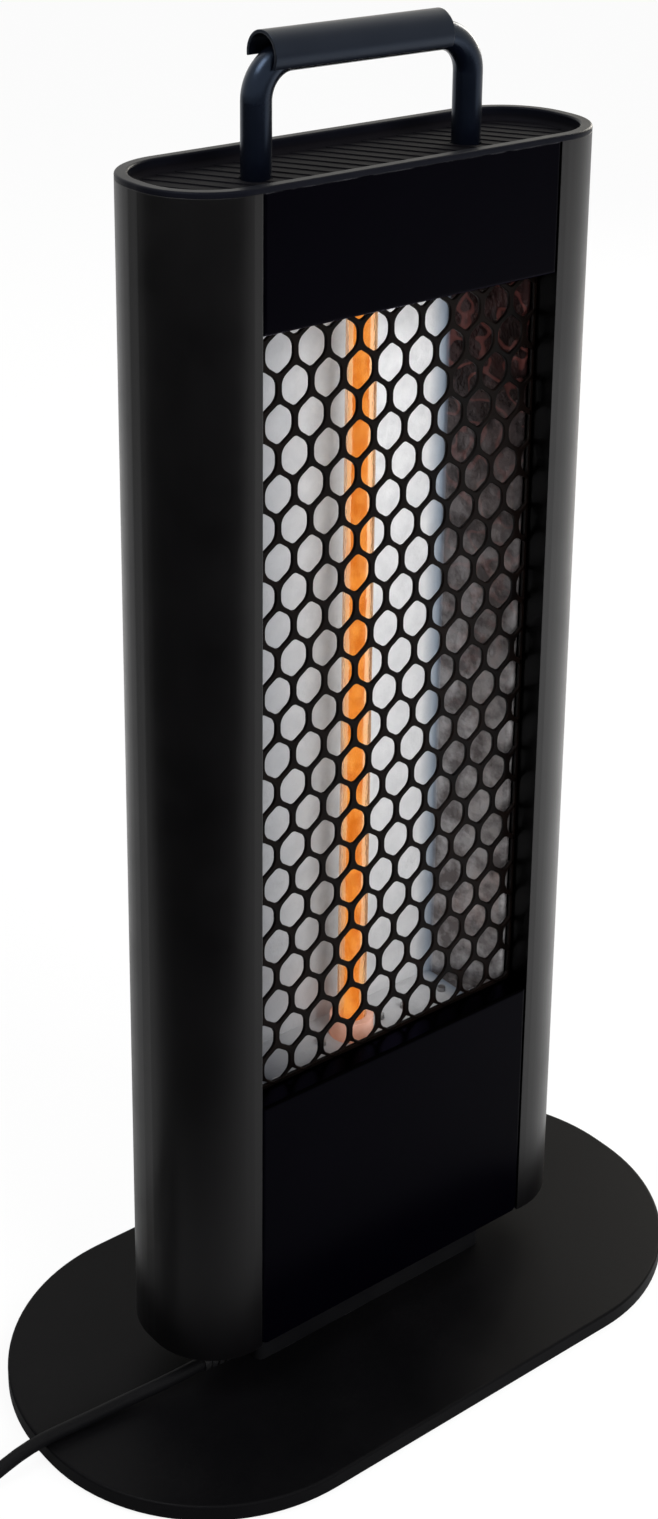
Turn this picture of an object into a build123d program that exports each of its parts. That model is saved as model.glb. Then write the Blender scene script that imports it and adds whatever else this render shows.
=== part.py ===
"""Tabletop infrared patio heater: a flat upright casing on an oval base plate, in millimetres.

X runs along the casing's width, Y from the front to the back, and Z up.
The origin is on the table, under the middle of the base plate.
"""

import os
from math import cos, pi, radians, sin, sqrt, tan

from build123d import *

os.makedirs("parts", exist_ok=True)

# Casing
body_width = 234.0
body_depth = 72.0
body_height = 550.0
body_corner_radius = 33.0
panel_width = 160.0
window_height = 360.0
window_drop = 61.0
grille_recess = 12.0

# Base plate and stand
base_width = 356.0
base_depth = 195.0
base_corner_radius = 94.0
plate_height = 7.5
plate_edge_radius = 1.2
foot_drop = 2.0
stand_gap = 25.0

# Walls
profile_wall = 1.8
sheet = 1.2
thin_sheet = 0.8
press_sheet = 1.5

# Clearances
seam_gap = 0.4
slide_clearance = 0.2
seat_clearance = 0.3
thread_clearance = 0.05

# Levels that the sizes above give
plate_bottom_z = foot_drop
plate_top_z = plate_bottom_z + plate_height
body_bottom_z = plate_top_z + stand_gap
body_top_z = body_bottom_z + body_height
window_top_z = body_top_z - window_drop
window_bottom_z = window_top_z - window_height
front_y = -body_depth / 2
rear_y = body_depth / 2
seam_x = panel_width / 2
cover_half_width = seam_x - seam_gap

# Top cap
rim_height = 2.5
rim_width = 5.5
rim_edge_radius = 1.0
cap_recess = 6.5
cap_floor = 2.0
cap_corner_fillet = 2.5
cap_skirt_inset = profile_wall + seam_gap
rib_pitch = 8.5
rib_width = 3.6
rib_rise = 0.45
rib_angle = -60.0
casing_top_z = body_top_z - rim_height
cap_floor_top_z = body_top_z - cap_recess
cap_floor_bottom_z = cap_floor_top_z - cap_floor

# Handle
bar_radius = 6.5
leg_spacing = 113.4
bar_bend_radius = 17.0
bar_rise = 42.2
grip_radius = 10.0
grip_wall = 1.4
grip_offset = 1.5
grip_left_x = -54.0
grip_right_x = 40.0
grip_front_lip = 57.0
grip_rear_lip = 80.0
saddle_width = 3.0
bracket_drop = 19.5
bracket_sheet = 3.0
bracket_depth = 28.0
bracket_flange = 9.5
stud_radius = 4.0
stud_length = 14.0
nut_height = 6.5
nut_across_flats = 13.0

# Grille
grille_sheet = 1.5
cell_pitch = 17.0
row_pitch = 15.36
strand = 2.8
tip_slope = 0.70
first_row_drop = 12.8
cell_phase = 5.5
row_count = 23
grille_overlap = 8.0
grille_top_overlap = 12.0
grille_margin = 1.2

# Reflector and heating element
reflector_back_y = 18.0
reflector_back_width = 126.0
reflector_front_width = 153.2
reflector_margin = 1.4
element_radius = 7.0
element_wall = 1.2
core_radius = 3.6
ceramic_radius = 10.5
ceramic_length = 24.0
ceramic_socket = 9.0
shield_y = 25.0
shield_width = 144.0
shield_return = 6.0

# Cord
cord_radius = 3.2
coil_start_radius = 48.0
coil_turn_pitch = 7.0
coil_layer_rise = 7.0
coil_inward_halves = 6
floor_clearance = 0.05

# Screws
small_screw_radius = 1.9
small_head_radius = 3.4
small_head_height = 2.2
bolt_radius = 2.5
bolt_head_radius = 4.8
bolt_head_height = 2.4


def save(piece, name):
    """Label one finished piece and write it to its own file."""
    piece.part.label = name
    export_step(piece.part, f"parts/{name}.step")


def pan_screw(at, direction, length, radius=small_screw_radius):
    """A pan-head screw with its head's seat at a point, its shank running along a direction."""
    seat = Plane(origin=at, z_dir=direction)
    shank = Cylinder(radius, length, mode=Mode.PRIVATE)
    head = Cylinder(small_head_radius, small_head_height, mode=Mode.PRIVATE)
    return seat * Pos(0, 0, length / 2) * shank + seat * Pos(0, 0, -small_head_height / 2) * head


# Base plate: a pressed pan, its ballast plate and its rubber feet
bolt_x = 50.0
inner_bolt_x = 18.0
bolt_y = 11.0
bolt_points = [(-bolt_x, bolt_y), (bolt_x, bolt_y), (bolt_x, -bolt_y), (-inner_bolt_x, -bolt_y)]

with BuildPart() as base_cover:
    with BuildSketch(Plane.XY.offset(plate_bottom_z)):
        RectangleRounded(base_width, base_depth, base_corner_radius)
    extrude(amount=plate_height)
    fillet(base_cover.faces().sort_by(Axis.Z)[-1].edges(), radius=plate_edge_radius)
    with BuildSketch(Plane.XY.offset(plate_bottom_z)):
        RectangleRounded(
            base_width - 2 * press_sheet,
            base_depth - 2 * press_sheet,
            base_corner_radius - press_sheet,
        )
    extrude(amount=plate_height - press_sheet, mode=Mode.SUBTRACT)
    with BuildSketch(Plane.XY.offset(plate_bottom_z)):
        with Locations(*bolt_points):
            Circle(bolt_radius + slide_clearance)
    extrude(amount=plate_height, mode=Mode.SUBTRACT)
save(base_cover, "base_cover")

ballast_thickness = 4.5
ballast_inset = press_sheet + seat_clearance
ballast_top_z = plate_top_z - press_sheet
ballast_bottom_z = ballast_top_z - ballast_thickness

with BuildPart() as base_ballast:
    with BuildSketch(Plane.XY.offset(ballast_bottom_z)):
        RectangleRounded(
            base_width - 2 * ballast_inset,
            base_depth - 2 * ballast_inset,
            base_corner_radius - ballast_inset,
        )
        with Locations(*bolt_points):
            Circle(bolt_radius + slide_clearance, mode=Mode.SUBTRACT)
    extrude(amount=ballast_thickness)
    for x, y in bolt_points:
        with BuildSketch(Plane.XY.offset(ballast_bottom_z)):
            with Locations((x, y)):
                Circle(bolt_head_radius + slide_clearance)
        with BuildSketch(Plane.XY.offset(ballast_bottom_z + bolt_head_height)):
            with Locations((x, y)):
                Circle(bolt_radius + slide_clearance)
        loft(mode=Mode.SUBTRACT)
save(base_ballast, "base_ballast")

foot_radius = 9.0
foot_sole_radius = 7.6
foot_height = ballast_bottom_z
foot_x = 128.0
foot_y = 52.0
foot_points = [(x, y) for x in (-foot_x, foot_x) for y in (-foot_y, foot_y)]
middle_foot_y = 76.0
foot_points += [(0, -middle_foot_y), (0, middle_foot_y)]

with BuildPart() as base_feet:
    for x, y in foot_points:
        with BuildSketch():
            with Locations((x, y)):
                Circle(foot_sole_radius)
        with BuildSketch(Plane.XY.offset(foot_height)):
            with Locations((x, y)):
                Circle(foot_radius)
        loft()
save(base_feet, "base_feet")

# Stand block between the plate and the casing
stand_width = 140.0
stand_depth = 40.0
stand_corner = 4.0
stand_wall = 3.0
cap_lift = 2.6
bottom_cap_sheet = 3.0
stand_height = stand_gap + cap_lift
stand_top_z = plate_top_z + stand_height
pillar_radius = 5.5
cord_exit_y = -10.0
cord_exit_rise = 6.2
cord_exit_z = plate_top_z + cord_exit_rise
relief_shank_radius = 4.6
stand_left_x = -stand_width / 2

with BuildPart() as stand_block:
    with BuildSketch(Plane.XY.offset(plate_top_z)):
        RectangleRounded(stand_width, stand_depth, stand_corner)
    extrude(amount=stand_height)
    with BuildSketch(Plane.XY.offset(plate_top_z + stand_wall)):
        RectangleRounded(
            stand_width - 2 * stand_wall,
            stand_depth - 2 * stand_wall,
            stand_corner - stand_wall,
        )
    extrude(amount=stand_height, mode=Mode.SUBTRACT)
    with BuildSketch(Plane.XY.offset(plate_top_z)):
        with Locations(*bolt_points):
            Circle(pillar_radius)
    extrude(amount=stand_height)
    with BuildSketch(Plane.XY.offset(plate_top_z)):
        with Locations(*bolt_points):
            Circle(bolt_radius + slide_clearance)
    extrude(amount=stand_height, mode=Mode.SUBTRACT)
    with BuildSketch(Plane.YZ.offset(stand_left_x)):
        with Locations((cord_exit_y, cord_exit_z)):
            Circle(relief_shank_radius + slide_clearance)
    extrude(amount=stand_wall, mode=Mode.SUBTRACT)
save(stand_block, "stand_block")

# Bottom cap of the casing, with tapped bosses for the stand bolts
profile_boss_radius = 3.5
profile_bore_radius = small_screw_radius + thread_clearance
profile_boss_x = seam_x + profile_wall + profile_boss_radius - profile_wall / 2
profile_boss_y = 17.0
profile_boss_points = [
    (x, y)
    for x in (-profile_boss_x, profile_boss_x)
    for y in (-profile_boss_y, profile_boss_y)
]
bottom_cap_z = stand_top_z
bottom_cap_top_z = bottom_cap_z + bottom_cap_sheet
stand_boss_height = 10.0
cord_riser_x = -42.0
block_x = 18.0
block_screw_x = 6.0
block_screw_points = [(block_x - block_screw_x, 0), (block_x + block_screw_x, 0)]

with BuildPart() as bottom_cap:
    with BuildSketch(Plane.XY.offset(bottom_cap_z)):
        RectangleRounded(
            body_width - 2 * cap_skirt_inset,
            body_depth - 2 * cap_skirt_inset,
            body_corner_radius - cap_skirt_inset,
        )
        with Locations(*profile_boss_points):
            Circle(small_screw_radius + slide_clearance, mode=Mode.SUBTRACT)
    extrude(amount=bottom_cap_sheet)
    with BuildSketch(Plane.XY.offset(bottom_cap_z)):
        with Locations(*bolt_points):
            Circle(pillar_radius)
    extrude(amount=bottom_cap_sheet + stand_boss_height)
    with BuildSketch(Plane.XY.offset(bottom_cap_z)):
        with Locations(*bolt_points):
            Circle(bolt_radius + thread_clearance)
        with Locations((cord_riser_x, cord_exit_y)):
            Circle(cord_radius + seat_clearance)
        with Locations(*block_screw_points):
            Circle(small_screw_radius + thread_clearance)
    extrude(amount=bottom_cap_sheet + stand_boss_height, mode=Mode.SUBTRACT)
save(bottom_cap, "bottom_cap")

bolt_top_z = bottom_cap_top_z + stand_boss_height - press_sheet

with BuildPart() as stand_bolts:
    for x, y in bolt_points:
        with BuildSketch(Plane.XY.offset(ballast_bottom_z)):
            with Locations((x, y)):
                Circle(bolt_head_radius)
        with BuildSketch(Plane.XY.offset(ballast_bottom_z + bolt_head_height)):
            with Locations((x, y)):
                Circle(bolt_radius)
        loft()
    with BuildSketch(Plane.XY.offset(ballast_bottom_z)):
        with Locations(*bolt_points):
            Circle(bolt_radius)
    extrude(amount=bolt_top_z - ballast_bottom_z)
save(stand_bolts, "stand_bolts")

# Side profiles: closed half-round extrusions whose inner webs are the window's jambs
web_setback = cap_lift + bottom_cap_sheet + seat_clearance
profile_length = casing_top_z - body_bottom_z
web_bottom_z = body_bottom_z + web_setback
web_top_z = cap_floor_bottom_z - seat_clearance

# Levels of the chassis plates that close the reflector
reflector_bottom_z = window_bottom_z - grille_overlap - sheet - reflector_margin
reflector_top_z = window_top_z + grille_top_overlap + reflector_margin / 2
lower_plate_z = reflector_bottom_z - thin_sheet - press_sheet
upper_plate_z = reflector_top_z + thin_sheet
plate_flange = 13.0
chassis_y_front = front_y + grille_recess + grille_sheet + seat_clearance
chassis_y_rear = rear_y - sheet - seat_clearance
bracket_top_z = body_top_z - bracket_drop
bracket_bottom_z = bracket_top_z - bracket_sheet
flange_screw_y = 9.0
flange_screw_levels = (
    lower_plate_z - plate_flange / 2,
    upper_plate_z + press_sheet + plate_flange / 2,
    bracket_bottom_z - bracket_flange / 2,
)
flange_screw_places = [(y, z) for z in flange_screw_levels for y in (-flange_screw_y, flange_screw_y)]


def make_side_profile(side):
    """One half-round profile, on the right for side 1 and on the left for side -1."""
    with BuildPart() as profile:
        with BuildSketch(Plane.XY.offset(body_bottom_z)):
            RectangleRounded(body_width, body_depth, body_corner_radius)
            RectangleRounded(
                body_width - 2 * profile_wall,
                body_depth - 2 * profile_wall,
                body_corner_radius - profile_wall,
                mode=Mode.SUBTRACT,
            )
            with Locations((side * (seam_x + body_width / 2), 0)):
                Rectangle(body_width, body_depth, mode=Mode.INTERSECT)
        extrude(amount=profile_length)
        with BuildSketch(Plane.XY.offset(web_bottom_z)):
            with Locations((side * (seam_x + profile_wall / 2), 0)):
                Rectangle(profile_wall, body_depth - profile_wall)
            with Locations(*[(side * profile_boss_x, y) for y in (-profile_boss_y, profile_boss_y)]):
                Circle(profile_boss_radius)
            with Locations(*[(side * profile_boss_x, y) for y in (-profile_boss_y, profile_boss_y)]):
                Circle(profile_bore_radius, mode=Mode.SUBTRACT)
        extrude(amount=web_top_z - web_bottom_z)
        with BuildSketch(Plane.YZ.offset(side * seam_x)):
            with Locations(*flange_screw_places):
                Circle(small_screw_radius + thread_clearance)
        extrude(amount=side * profile_wall, mode=Mode.SUBTRACT)
    return profile


save(make_side_profile(-1), "side_profile_left")
save(make_side_profile(1), "side_profile_right")

end_screw_length = 14.0

with BuildPart() as end_screws:
    for x, y in profile_boss_points:
        add(pan_screw((x, y, bottom_cap_z), (0, 0, 1), end_screw_length))
save(end_screws, "end_screws")

# Front covers: two shallow sheet pans above and below the window
cover_return = 8.0
cover_corner = 3.5
cover_edge_radius = 1.5
inner_flange = 9.0
grille_front_y = front_y + grille_recess
cover_screw_x = 60.0
cover_screw_xs = (-cover_screw_x, 0, cover_screw_x)


def make_front_cover(bottom_z, top_z, edge_z, upward):
    """A pan from one level to another, with a deep fold at the window's edge and a flange behind.

    Upward is 1 where the pan stands above the window's edge and -1 where it hangs below.
    """
    middle_z = (bottom_z + top_z) / 2
    height = top_z - bottom_z
    far_z = bottom_z + top_z - edge_z
    screw_z = edge_z + upward * inner_flange / 2
    with BuildPart() as cover:
        with BuildSketch(Plane.XZ.offset(-front_y)) as outline:
            with Locations((0, middle_z)):
                Rectangle(2 * cover_half_width, height)
            if upward < 0:
                fillet(outline.vertices().group_by(Axis.Y)[0], radius=cover_corner)
        extrude(amount=-cover_return)
        face_edges = cover.faces().sort_by(Axis.Y)[0].edges().sort_by(Axis.Z)
        fillet(face_edges[:-1] if upward > 0 else face_edges, radius=cover_edge_radius)
        with BuildSketch(Plane.XZ.offset(-front_y - sheet)) as hollow:
            with Locations((0, middle_z)):
                Rectangle(2 * (cover_half_width - sheet), height - 2 * sheet)
            if upward < 0:
                fillet(hollow.vertices().group_by(Axis.Y)[0], radius=cover_corner - sheet)
        extrude(amount=-cover_return, mode=Mode.SUBTRACT)
        notch_z = web_bottom_z if upward < 0 else web_top_z
        notch_far_z = far_z - upward * sheet if upward < 0 else far_z
        with BuildSketch(Plane.XZ.offset(-front_y - sheet)):
            with Locations((0, (notch_z + notch_far_z) / 2)):
                Rectangle(body_width, abs(notch_z - notch_far_z))
        extrude(amount=-cover_return, mode=Mode.SUBTRACT)
        with BuildSketch(Plane.XZ.offset(-front_y - cover_return / 2)):
            with Locations((0, edge_z + upward * sheet / 2)):
                Rectangle(2 * cover_half_width, sheet)
        extrude(amount=-(grille_recess - cover_return / 2))
        with BuildSketch(Plane.XZ.offset(sheet - grille_front_y)):
            with Locations((0, edge_z + upward * inner_flange / 2)):
                Rectangle(2 * cover_half_width, inner_flange)
            with Locations(*[(x, screw_z) for x in cover_screw_xs]):
                Circle(small_screw_radius + thread_clearance, mode=Mode.SUBTRACT)
        extrude(amount=-sheet)
    return cover


save(make_front_cover(window_top_z, casing_top_z, window_top_z, 1), "front_cover_upper")
save(make_front_cover(body_bottom_z, window_bottom_z, window_bottom_z, -1), "front_cover_lower")

# Rear cover: a full-height pan with vent slots and the switch cut-out
slot_width = 24.0
slot_height = 4.0
slot_pitch_x = 28.0
slot_pitch_z = 9.0
slot_columns = 5
upper_slot_rows = 9
lower_slot_rows = 4
upper_slots_drop = 96.0
lower_slots_rise = 34.0
switch_cutout_width = 22.0
switch_cutout_height = 28.0
switch_rise = 88.0
switch_z = body_bottom_z + switch_rise
rear_screw_x = 60.0
rear_screw_levels = flange_screw_levels[:-1]
rear_screw_points = [(x, z) for x in (-rear_screw_x, rear_screw_x) for z in rear_screw_levels]

with BuildPart() as rear_cover:
    rear_middle_z = (body_bottom_z + casing_top_z) / 2
    with BuildSketch(Plane.XZ.offset(-rear_y)) as rear_outline:
        with Locations((0, rear_middle_z)):
            Rectangle(2 * cover_half_width, profile_length)
        fillet(rear_outline.vertices().group_by(Axis.Y)[0], radius=cover_corner)
    extrude(amount=cover_return)
    rear_edges = rear_cover.faces().sort_by(Axis.Y)[-1].edges().sort_by(Axis.Z)
    fillet(rear_edges[:-1], radius=cover_edge_radius)
    with BuildSketch(Plane.XZ.offset(sheet - rear_y)) as rear_hollow:
        with Locations((0, rear_middle_z)):
            Rectangle(2 * (cover_half_width - sheet), profile_length - 2 * sheet)
        fillet(rear_hollow.vertices().group_by(Axis.Y)[0], radius=cover_corner - sheet)
    extrude(amount=cover_return, mode=Mode.SUBTRACT)
    for low_z, high_z in ((body_bottom_z + sheet, web_bottom_z), (web_top_z, casing_top_z)):
        with BuildSketch(Plane.XZ.offset(sheet - rear_y)):
            with Locations((0, (low_z + high_z) / 2)):
                Rectangle(body_width, high_z - low_z)
        extrude(amount=cover_return, mode=Mode.SUBTRACT)
    with BuildSketch(Plane.XZ.offset(-rear_y)):
        with Locations((0, body_top_z - upper_slots_drop)):
            with GridLocations(slot_pitch_x, slot_pitch_z, slot_columns, upper_slot_rows):
                SlotOverall(slot_width, slot_height)
        with Locations((0, body_bottom_z + lower_slots_rise)):
            with GridLocations(slot_pitch_x, slot_pitch_z, slot_columns, lower_slot_rows):
                SlotOverall(slot_width, slot_height)
        with Locations((0, switch_z)):
            Rectangle(switch_cutout_width, switch_cutout_height)
        with Locations(*rear_screw_points):
            Circle(small_screw_radius + slide_clearance)
    extrude(amount=sheet, mode=Mode.SUBTRACT)
save(rear_cover, "rear_cover")

rear_screw_length = 8.0

with BuildPart() as rear_screws:
    for x, z in rear_screw_points:
        add(pan_screw((x, rear_y, z), (0, -1, 0), rear_screw_length))
save(rear_screws, "rear_screws")

# Top cap: a tray with a rolled rim and slanting ribs on its floor
recess_width = body_width - 2 * rim_width
recess_depth = body_depth - 2 * rim_width
recess_corner = body_corner_radius - rim_width
leg_x = leg_spacing / 2
cap_boss_x = 28.0
cap_boss_radius = 4.0
cap_boss_points = [(-cap_boss_x, 0), (cap_boss_x, 0)]
rib_spacing = rib_pitch / sin(radians(abs(rib_angle)))
rib_length = recess_depth / sin(radians(abs(rib_angle)))
rib_sides = int((recess_width / 2 - cap_corner_fillet) / rib_spacing)
rib_points = [(k * rib_spacing, 0) for k in range(-rib_sides, rib_sides + 1)]

with BuildPart() as top_cap:
    with BuildSketch(Plane.XY.offset(casing_top_z)):
        RectangleRounded(body_width, body_depth, body_corner_radius)
    extrude(amount=rim_height)
    with BuildSketch(Plane.XY.offset(cap_floor_bottom_z)):
        RectangleRounded(
            body_width - 2 * cap_skirt_inset,
            body_depth - 2 * cap_skirt_inset,
            body_corner_radius - cap_skirt_inset,
        )
    extrude(amount=casing_top_z - cap_floor_bottom_z)
    with BuildSketch(Plane.XY.offset(cap_floor_top_z)):
        RectangleRounded(recess_width, recess_depth, recess_corner)
    extrude(amount=cap_recess, mode=Mode.SUBTRACT)
    fillet(top_cap.faces().sort_by(Axis.Z)[-1].edges(), radius=rim_edge_radius)
    floor = top_cap.faces().filter_by(Axis.Z).sort_by_distance((0, 0, cap_floor_top_z))[0]
    fillet(floor.edges(), radius=cap_corner_fillet)
    with BuildSketch(Plane.XY.offset(cap_floor_top_z)):
        with Locations(*rib_points):
            Rectangle(rib_length, rib_width, rotation=rib_angle)
        RectangleRounded(
            recess_width - 2 * cap_corner_fillet,
            recess_depth - 2 * cap_corner_fillet,
            recess_corner - cap_corner_fillet,
            mode=Mode.INTERSECT,
        )
    extrude(amount=rib_rise)
    with BuildSketch(Plane.XY.offset(cap_floor_bottom_z)):
        with Locations(*cap_boss_points):
            Circle(cap_boss_radius)
    extrude(amount=bracket_top_z + seat_clearance - cap_floor_bottom_z)
    with BuildSketch(Plane.XY.offset(bracket_top_z)):
        with Locations((-leg_x, 0), (leg_x, 0)):
            Circle(bar_radius + seat_clearance)
    extrude(amount=bracket_drop, mode=Mode.SUBTRACT)
    with BuildSketch(Plane.XY.offset(bracket_top_z)):
        with Locations(*cap_boss_points):
            Circle(small_screw_radius + thread_clearance)
    extrude(amount=cap_floor_bottom_z - bracket_top_z, mode=Mode.SUBTRACT)
save(top_cap, "top_cap")

# Handle: a bent bar that passes through the cap onto a bracket, with its nuts and screws
bracket_width = 2 * (seam_x - seat_clearance)
bar_axis_z = body_top_z + bar_rise
washer_radius = 8.0
washer_height = 1.2
cap_screw_length = 11.0

with BuildPart() as handle_bar:
    with BuildLine() as bar_path:
        FilletPolyline(
            (-leg_x, 0, bracket_top_z),
            (-leg_x, 0, bar_axis_z),
            (leg_x, 0, bar_axis_z),
            (leg_x, 0, bracket_top_z),
            radius=bar_bend_radius,
        )
    with BuildSketch(Plane.XY.offset(bracket_top_z)):
        with Locations((-leg_x, 0)):
            Circle(bar_radius)
    sweep(path=bar_path.wires()[0])
    with BuildSketch(Plane.XY.offset(bracket_top_z)):
        with Locations((-leg_x, 0), (leg_x, 0)):
            Circle(stud_radius)
    extrude(amount=-stud_length)
save(handle_bar, "handle_bar")

with BuildPart() as handle_bracket:
    with BuildSketch(Plane.XY.offset(bracket_bottom_z)):
        Rectangle(bracket_width, bracket_depth)
    extrude(amount=bracket_sheet)
    with BuildSketch(Plane.XY.offset(bracket_bottom_z)):
        for side in (-1, 1):
            with Locations((side * (bracket_width - bracket_sheet) / 2, 0)):
                Rectangle(bracket_sheet, bracket_depth)
    extrude(amount=-bracket_flange)
    with BuildSketch(Plane.XY.offset(bracket_bottom_z)):
        with Locations((-leg_x, 0), (leg_x, 0)):
            Circle(stud_radius + slide_clearance)
        with Locations(*cap_boss_points):
            Circle(small_screw_radius + slide_clearance)
    extrude(amount=bracket_sheet, mode=Mode.SUBTRACT)
    with BuildSketch(Plane.YZ.offset(-bracket_width / 2)):
        with Locations(*[(y, flange_screw_levels[-1]) for y in (-flange_screw_y, flange_screw_y)]):
            Circle(small_screw_radius + slide_clearance)
    extrude(amount=bracket_width, mode=Mode.SUBTRACT)
save(handle_bracket, "handle_bracket")

with BuildPart() as handle_washers:
    with BuildSketch(Plane.XY.offset(bracket_bottom_z)):
        with Locations((-leg_x, 0), (leg_x, 0)):
            Circle(washer_radius)
        with Locations((-leg_x, 0), (leg_x, 0)):
            Circle(stud_radius + slide_clearance, mode=Mode.SUBTRACT)
    extrude(amount=-washer_height)
save(handle_washers, "handle_washers")

with BuildPart() as handle_nuts:
    with BuildSketch(Plane.XY.offset(bracket_bottom_z - washer_height)):
        with Locations((-leg_x, 0), (leg_x, 0)):
            RegularPolygon(nut_across_flats / 2, 6, major_radius=False)
        with Locations((-leg_x, 0), (leg_x, 0)):
            Circle(stud_radius + thread_clearance, mode=Mode.SUBTRACT)
    extrude(amount=-nut_height)
save(handle_nuts, "handle_nuts")

with BuildPart() as cap_screws:
    for x, y in cap_boss_points:
        add(pan_screw((x, y, bracket_bottom_z), (0, 0, 1), cap_screw_length))
save(cap_screws, "cap_screws")

# Grip: a sleeve that is open below, with two inner saddles that clip onto the bar
grip_axis_z = bar_axis_z + grip_offset
grip_length = grip_right_x - grip_left_x
saddle_share = 0.27
lip_round = 0.5
grip_reach = 2 * grip_radius
front_lip = radians(grip_front_lip)
rear_lip = radians(grip_rear_lip)


def grip_opening():
    """The wedge below the sleeve that stays open, from the front lip to the rear lip."""
    Polygon(
        (0, grip_axis_z),
        (-grip_reach * sin(front_lip), grip_axis_z - grip_reach * cos(front_lip)),
        (-grip_reach * sin(front_lip), grip_axis_z - 2 * grip_reach),
        (grip_reach * sin(rear_lip), grip_axis_z - 2 * grip_reach),
        (grip_reach * sin(rear_lip), grip_axis_z - grip_reach * cos(rear_lip)),
        align=None,
        mode=Mode.SUBTRACT,
    )


with BuildPart() as handle_grip:
    with BuildSketch(Plane.YZ.offset(grip_left_x)) as grip_section:
        with Locations((0, grip_axis_z)):
            Circle(grip_radius)
            Circle(grip_radius - grip_wall, mode=Mode.SUBTRACT)
        grip_opening()
        fillet(grip_section.vertices(), radius=lip_round)
    extrude(amount=grip_length)
    for side in (-1, 1):
        saddle_x = side * saddle_share * grip_length - saddle_width / 2
        with BuildSketch(Plane.YZ.offset(saddle_x)):
            with Locations((0, grip_axis_z)):
                Circle(grip_radius - grip_wall / 2)
            with Locations((0, bar_axis_z)):
                Circle(bar_radius + thread_clearance, mode=Mode.SUBTRACT)
            grip_opening()
        extrude(amount=saddle_width)
save(handle_grip, "handle_grip")

# Front grille: one sheet with rows of stretched hexagons, half a cell apart in turn
cell_width = cell_pitch - strand
cell_side = row_pitch - tip_slope * cell_pitch / 2 - tip_slope * strand / 2
cell_tip = cell_side / 2 + tip_slope * cell_width / 2
cell_corner = 2.4
least_cell_share = 0.2
grille_half_width = seam_x - seat_clearance
grille_top_z = window_top_z + grille_top_overlap
grille_bottom_z = window_bottom_z - grille_overlap
holed_half_width = grille_half_width - grille_margin
holed_top_z = window_top_z + grille_margin
cover_screw_levels = (window_bottom_z - inner_flange / 2, window_top_z + inner_flange / 2)
cover_screw_points = [(x, z) for z in cover_screw_levels for x in cover_screw_xs]
outermost_cell_x = holed_half_width + cell_width / 2 - least_cell_share * cell_width
cells_each_way = int(outermost_cell_x / cell_pitch) + 1
cell_points = []
for row in range(-1, row_count):
    shift = cell_phase if row % 2 == 0 else cell_phase - cell_pitch / 2
    for column in range(-cells_each_way, cells_each_way + 1):
        cell_x = shift + column * cell_pitch
        if abs(cell_x) <= outermost_cell_x:
            cell_points.append((cell_x, window_top_z - first_row_drop - row * row_pitch))

with BuildSketch() as cell:
    Polygon(
        (0, cell_tip),
        (-cell_width / 2, cell_side / 2),
        (-cell_width / 2, -cell_side / 2),
        (0, -cell_tip),
        (cell_width / 2, -cell_side / 2),
        (cell_width / 2, cell_side / 2),
    )
    fillet(cell.vertices(), radius=cell_corner)

with BuildSketch() as cells:
    with Locations(*cell_points):
        add(cell.sketch)
    with Locations((0, (grille_bottom_z + holed_top_z) / 2)):
        Rectangle(2 * holed_half_width, holed_top_z - grille_bottom_z, mode=Mode.INTERSECT)

with BuildPart() as front_grille:
    with BuildSketch(Plane.XZ.offset(-grille_front_y)):
        with Locations((0, (grille_bottom_z + grille_top_z) / 2)):
            Rectangle(2 * grille_half_width, grille_top_z - grille_bottom_z)
        with Locations(*cover_screw_points):
            Circle(small_screw_radius + slide_clearance, mode=Mode.SUBTRACT)
        add(cells.sketch, mode=Mode.SUBTRACT)
    extrude(amount=-grille_sheet)
save(front_grille, "front_grille")

# Crossplates: folded plates above and below the reflector that tie the two profiles together
crossplate_half_width = seam_x - seat_clearance
tongue_half_width = cover_half_width - sheet - 4 * seat_clearance
tongue_y = rear_y - cover_return - seat_clearance
wire_x = 40.0
wire_y = 29.5
wire_radius = 0.9
wire_hole_radius = 2.5
cover_screw_length = 5.6
clip_screw_x = 18.0
cutout_x = 45.0
cutout_screw_x = 12.0
clip_screw_points = [(-clip_screw_x, 0), (clip_screw_x, 0)]
cutout_screw_points = [(cutout_x - cutout_screw_x, 0), (cutout_x + cutout_screw_x, 0)]


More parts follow.
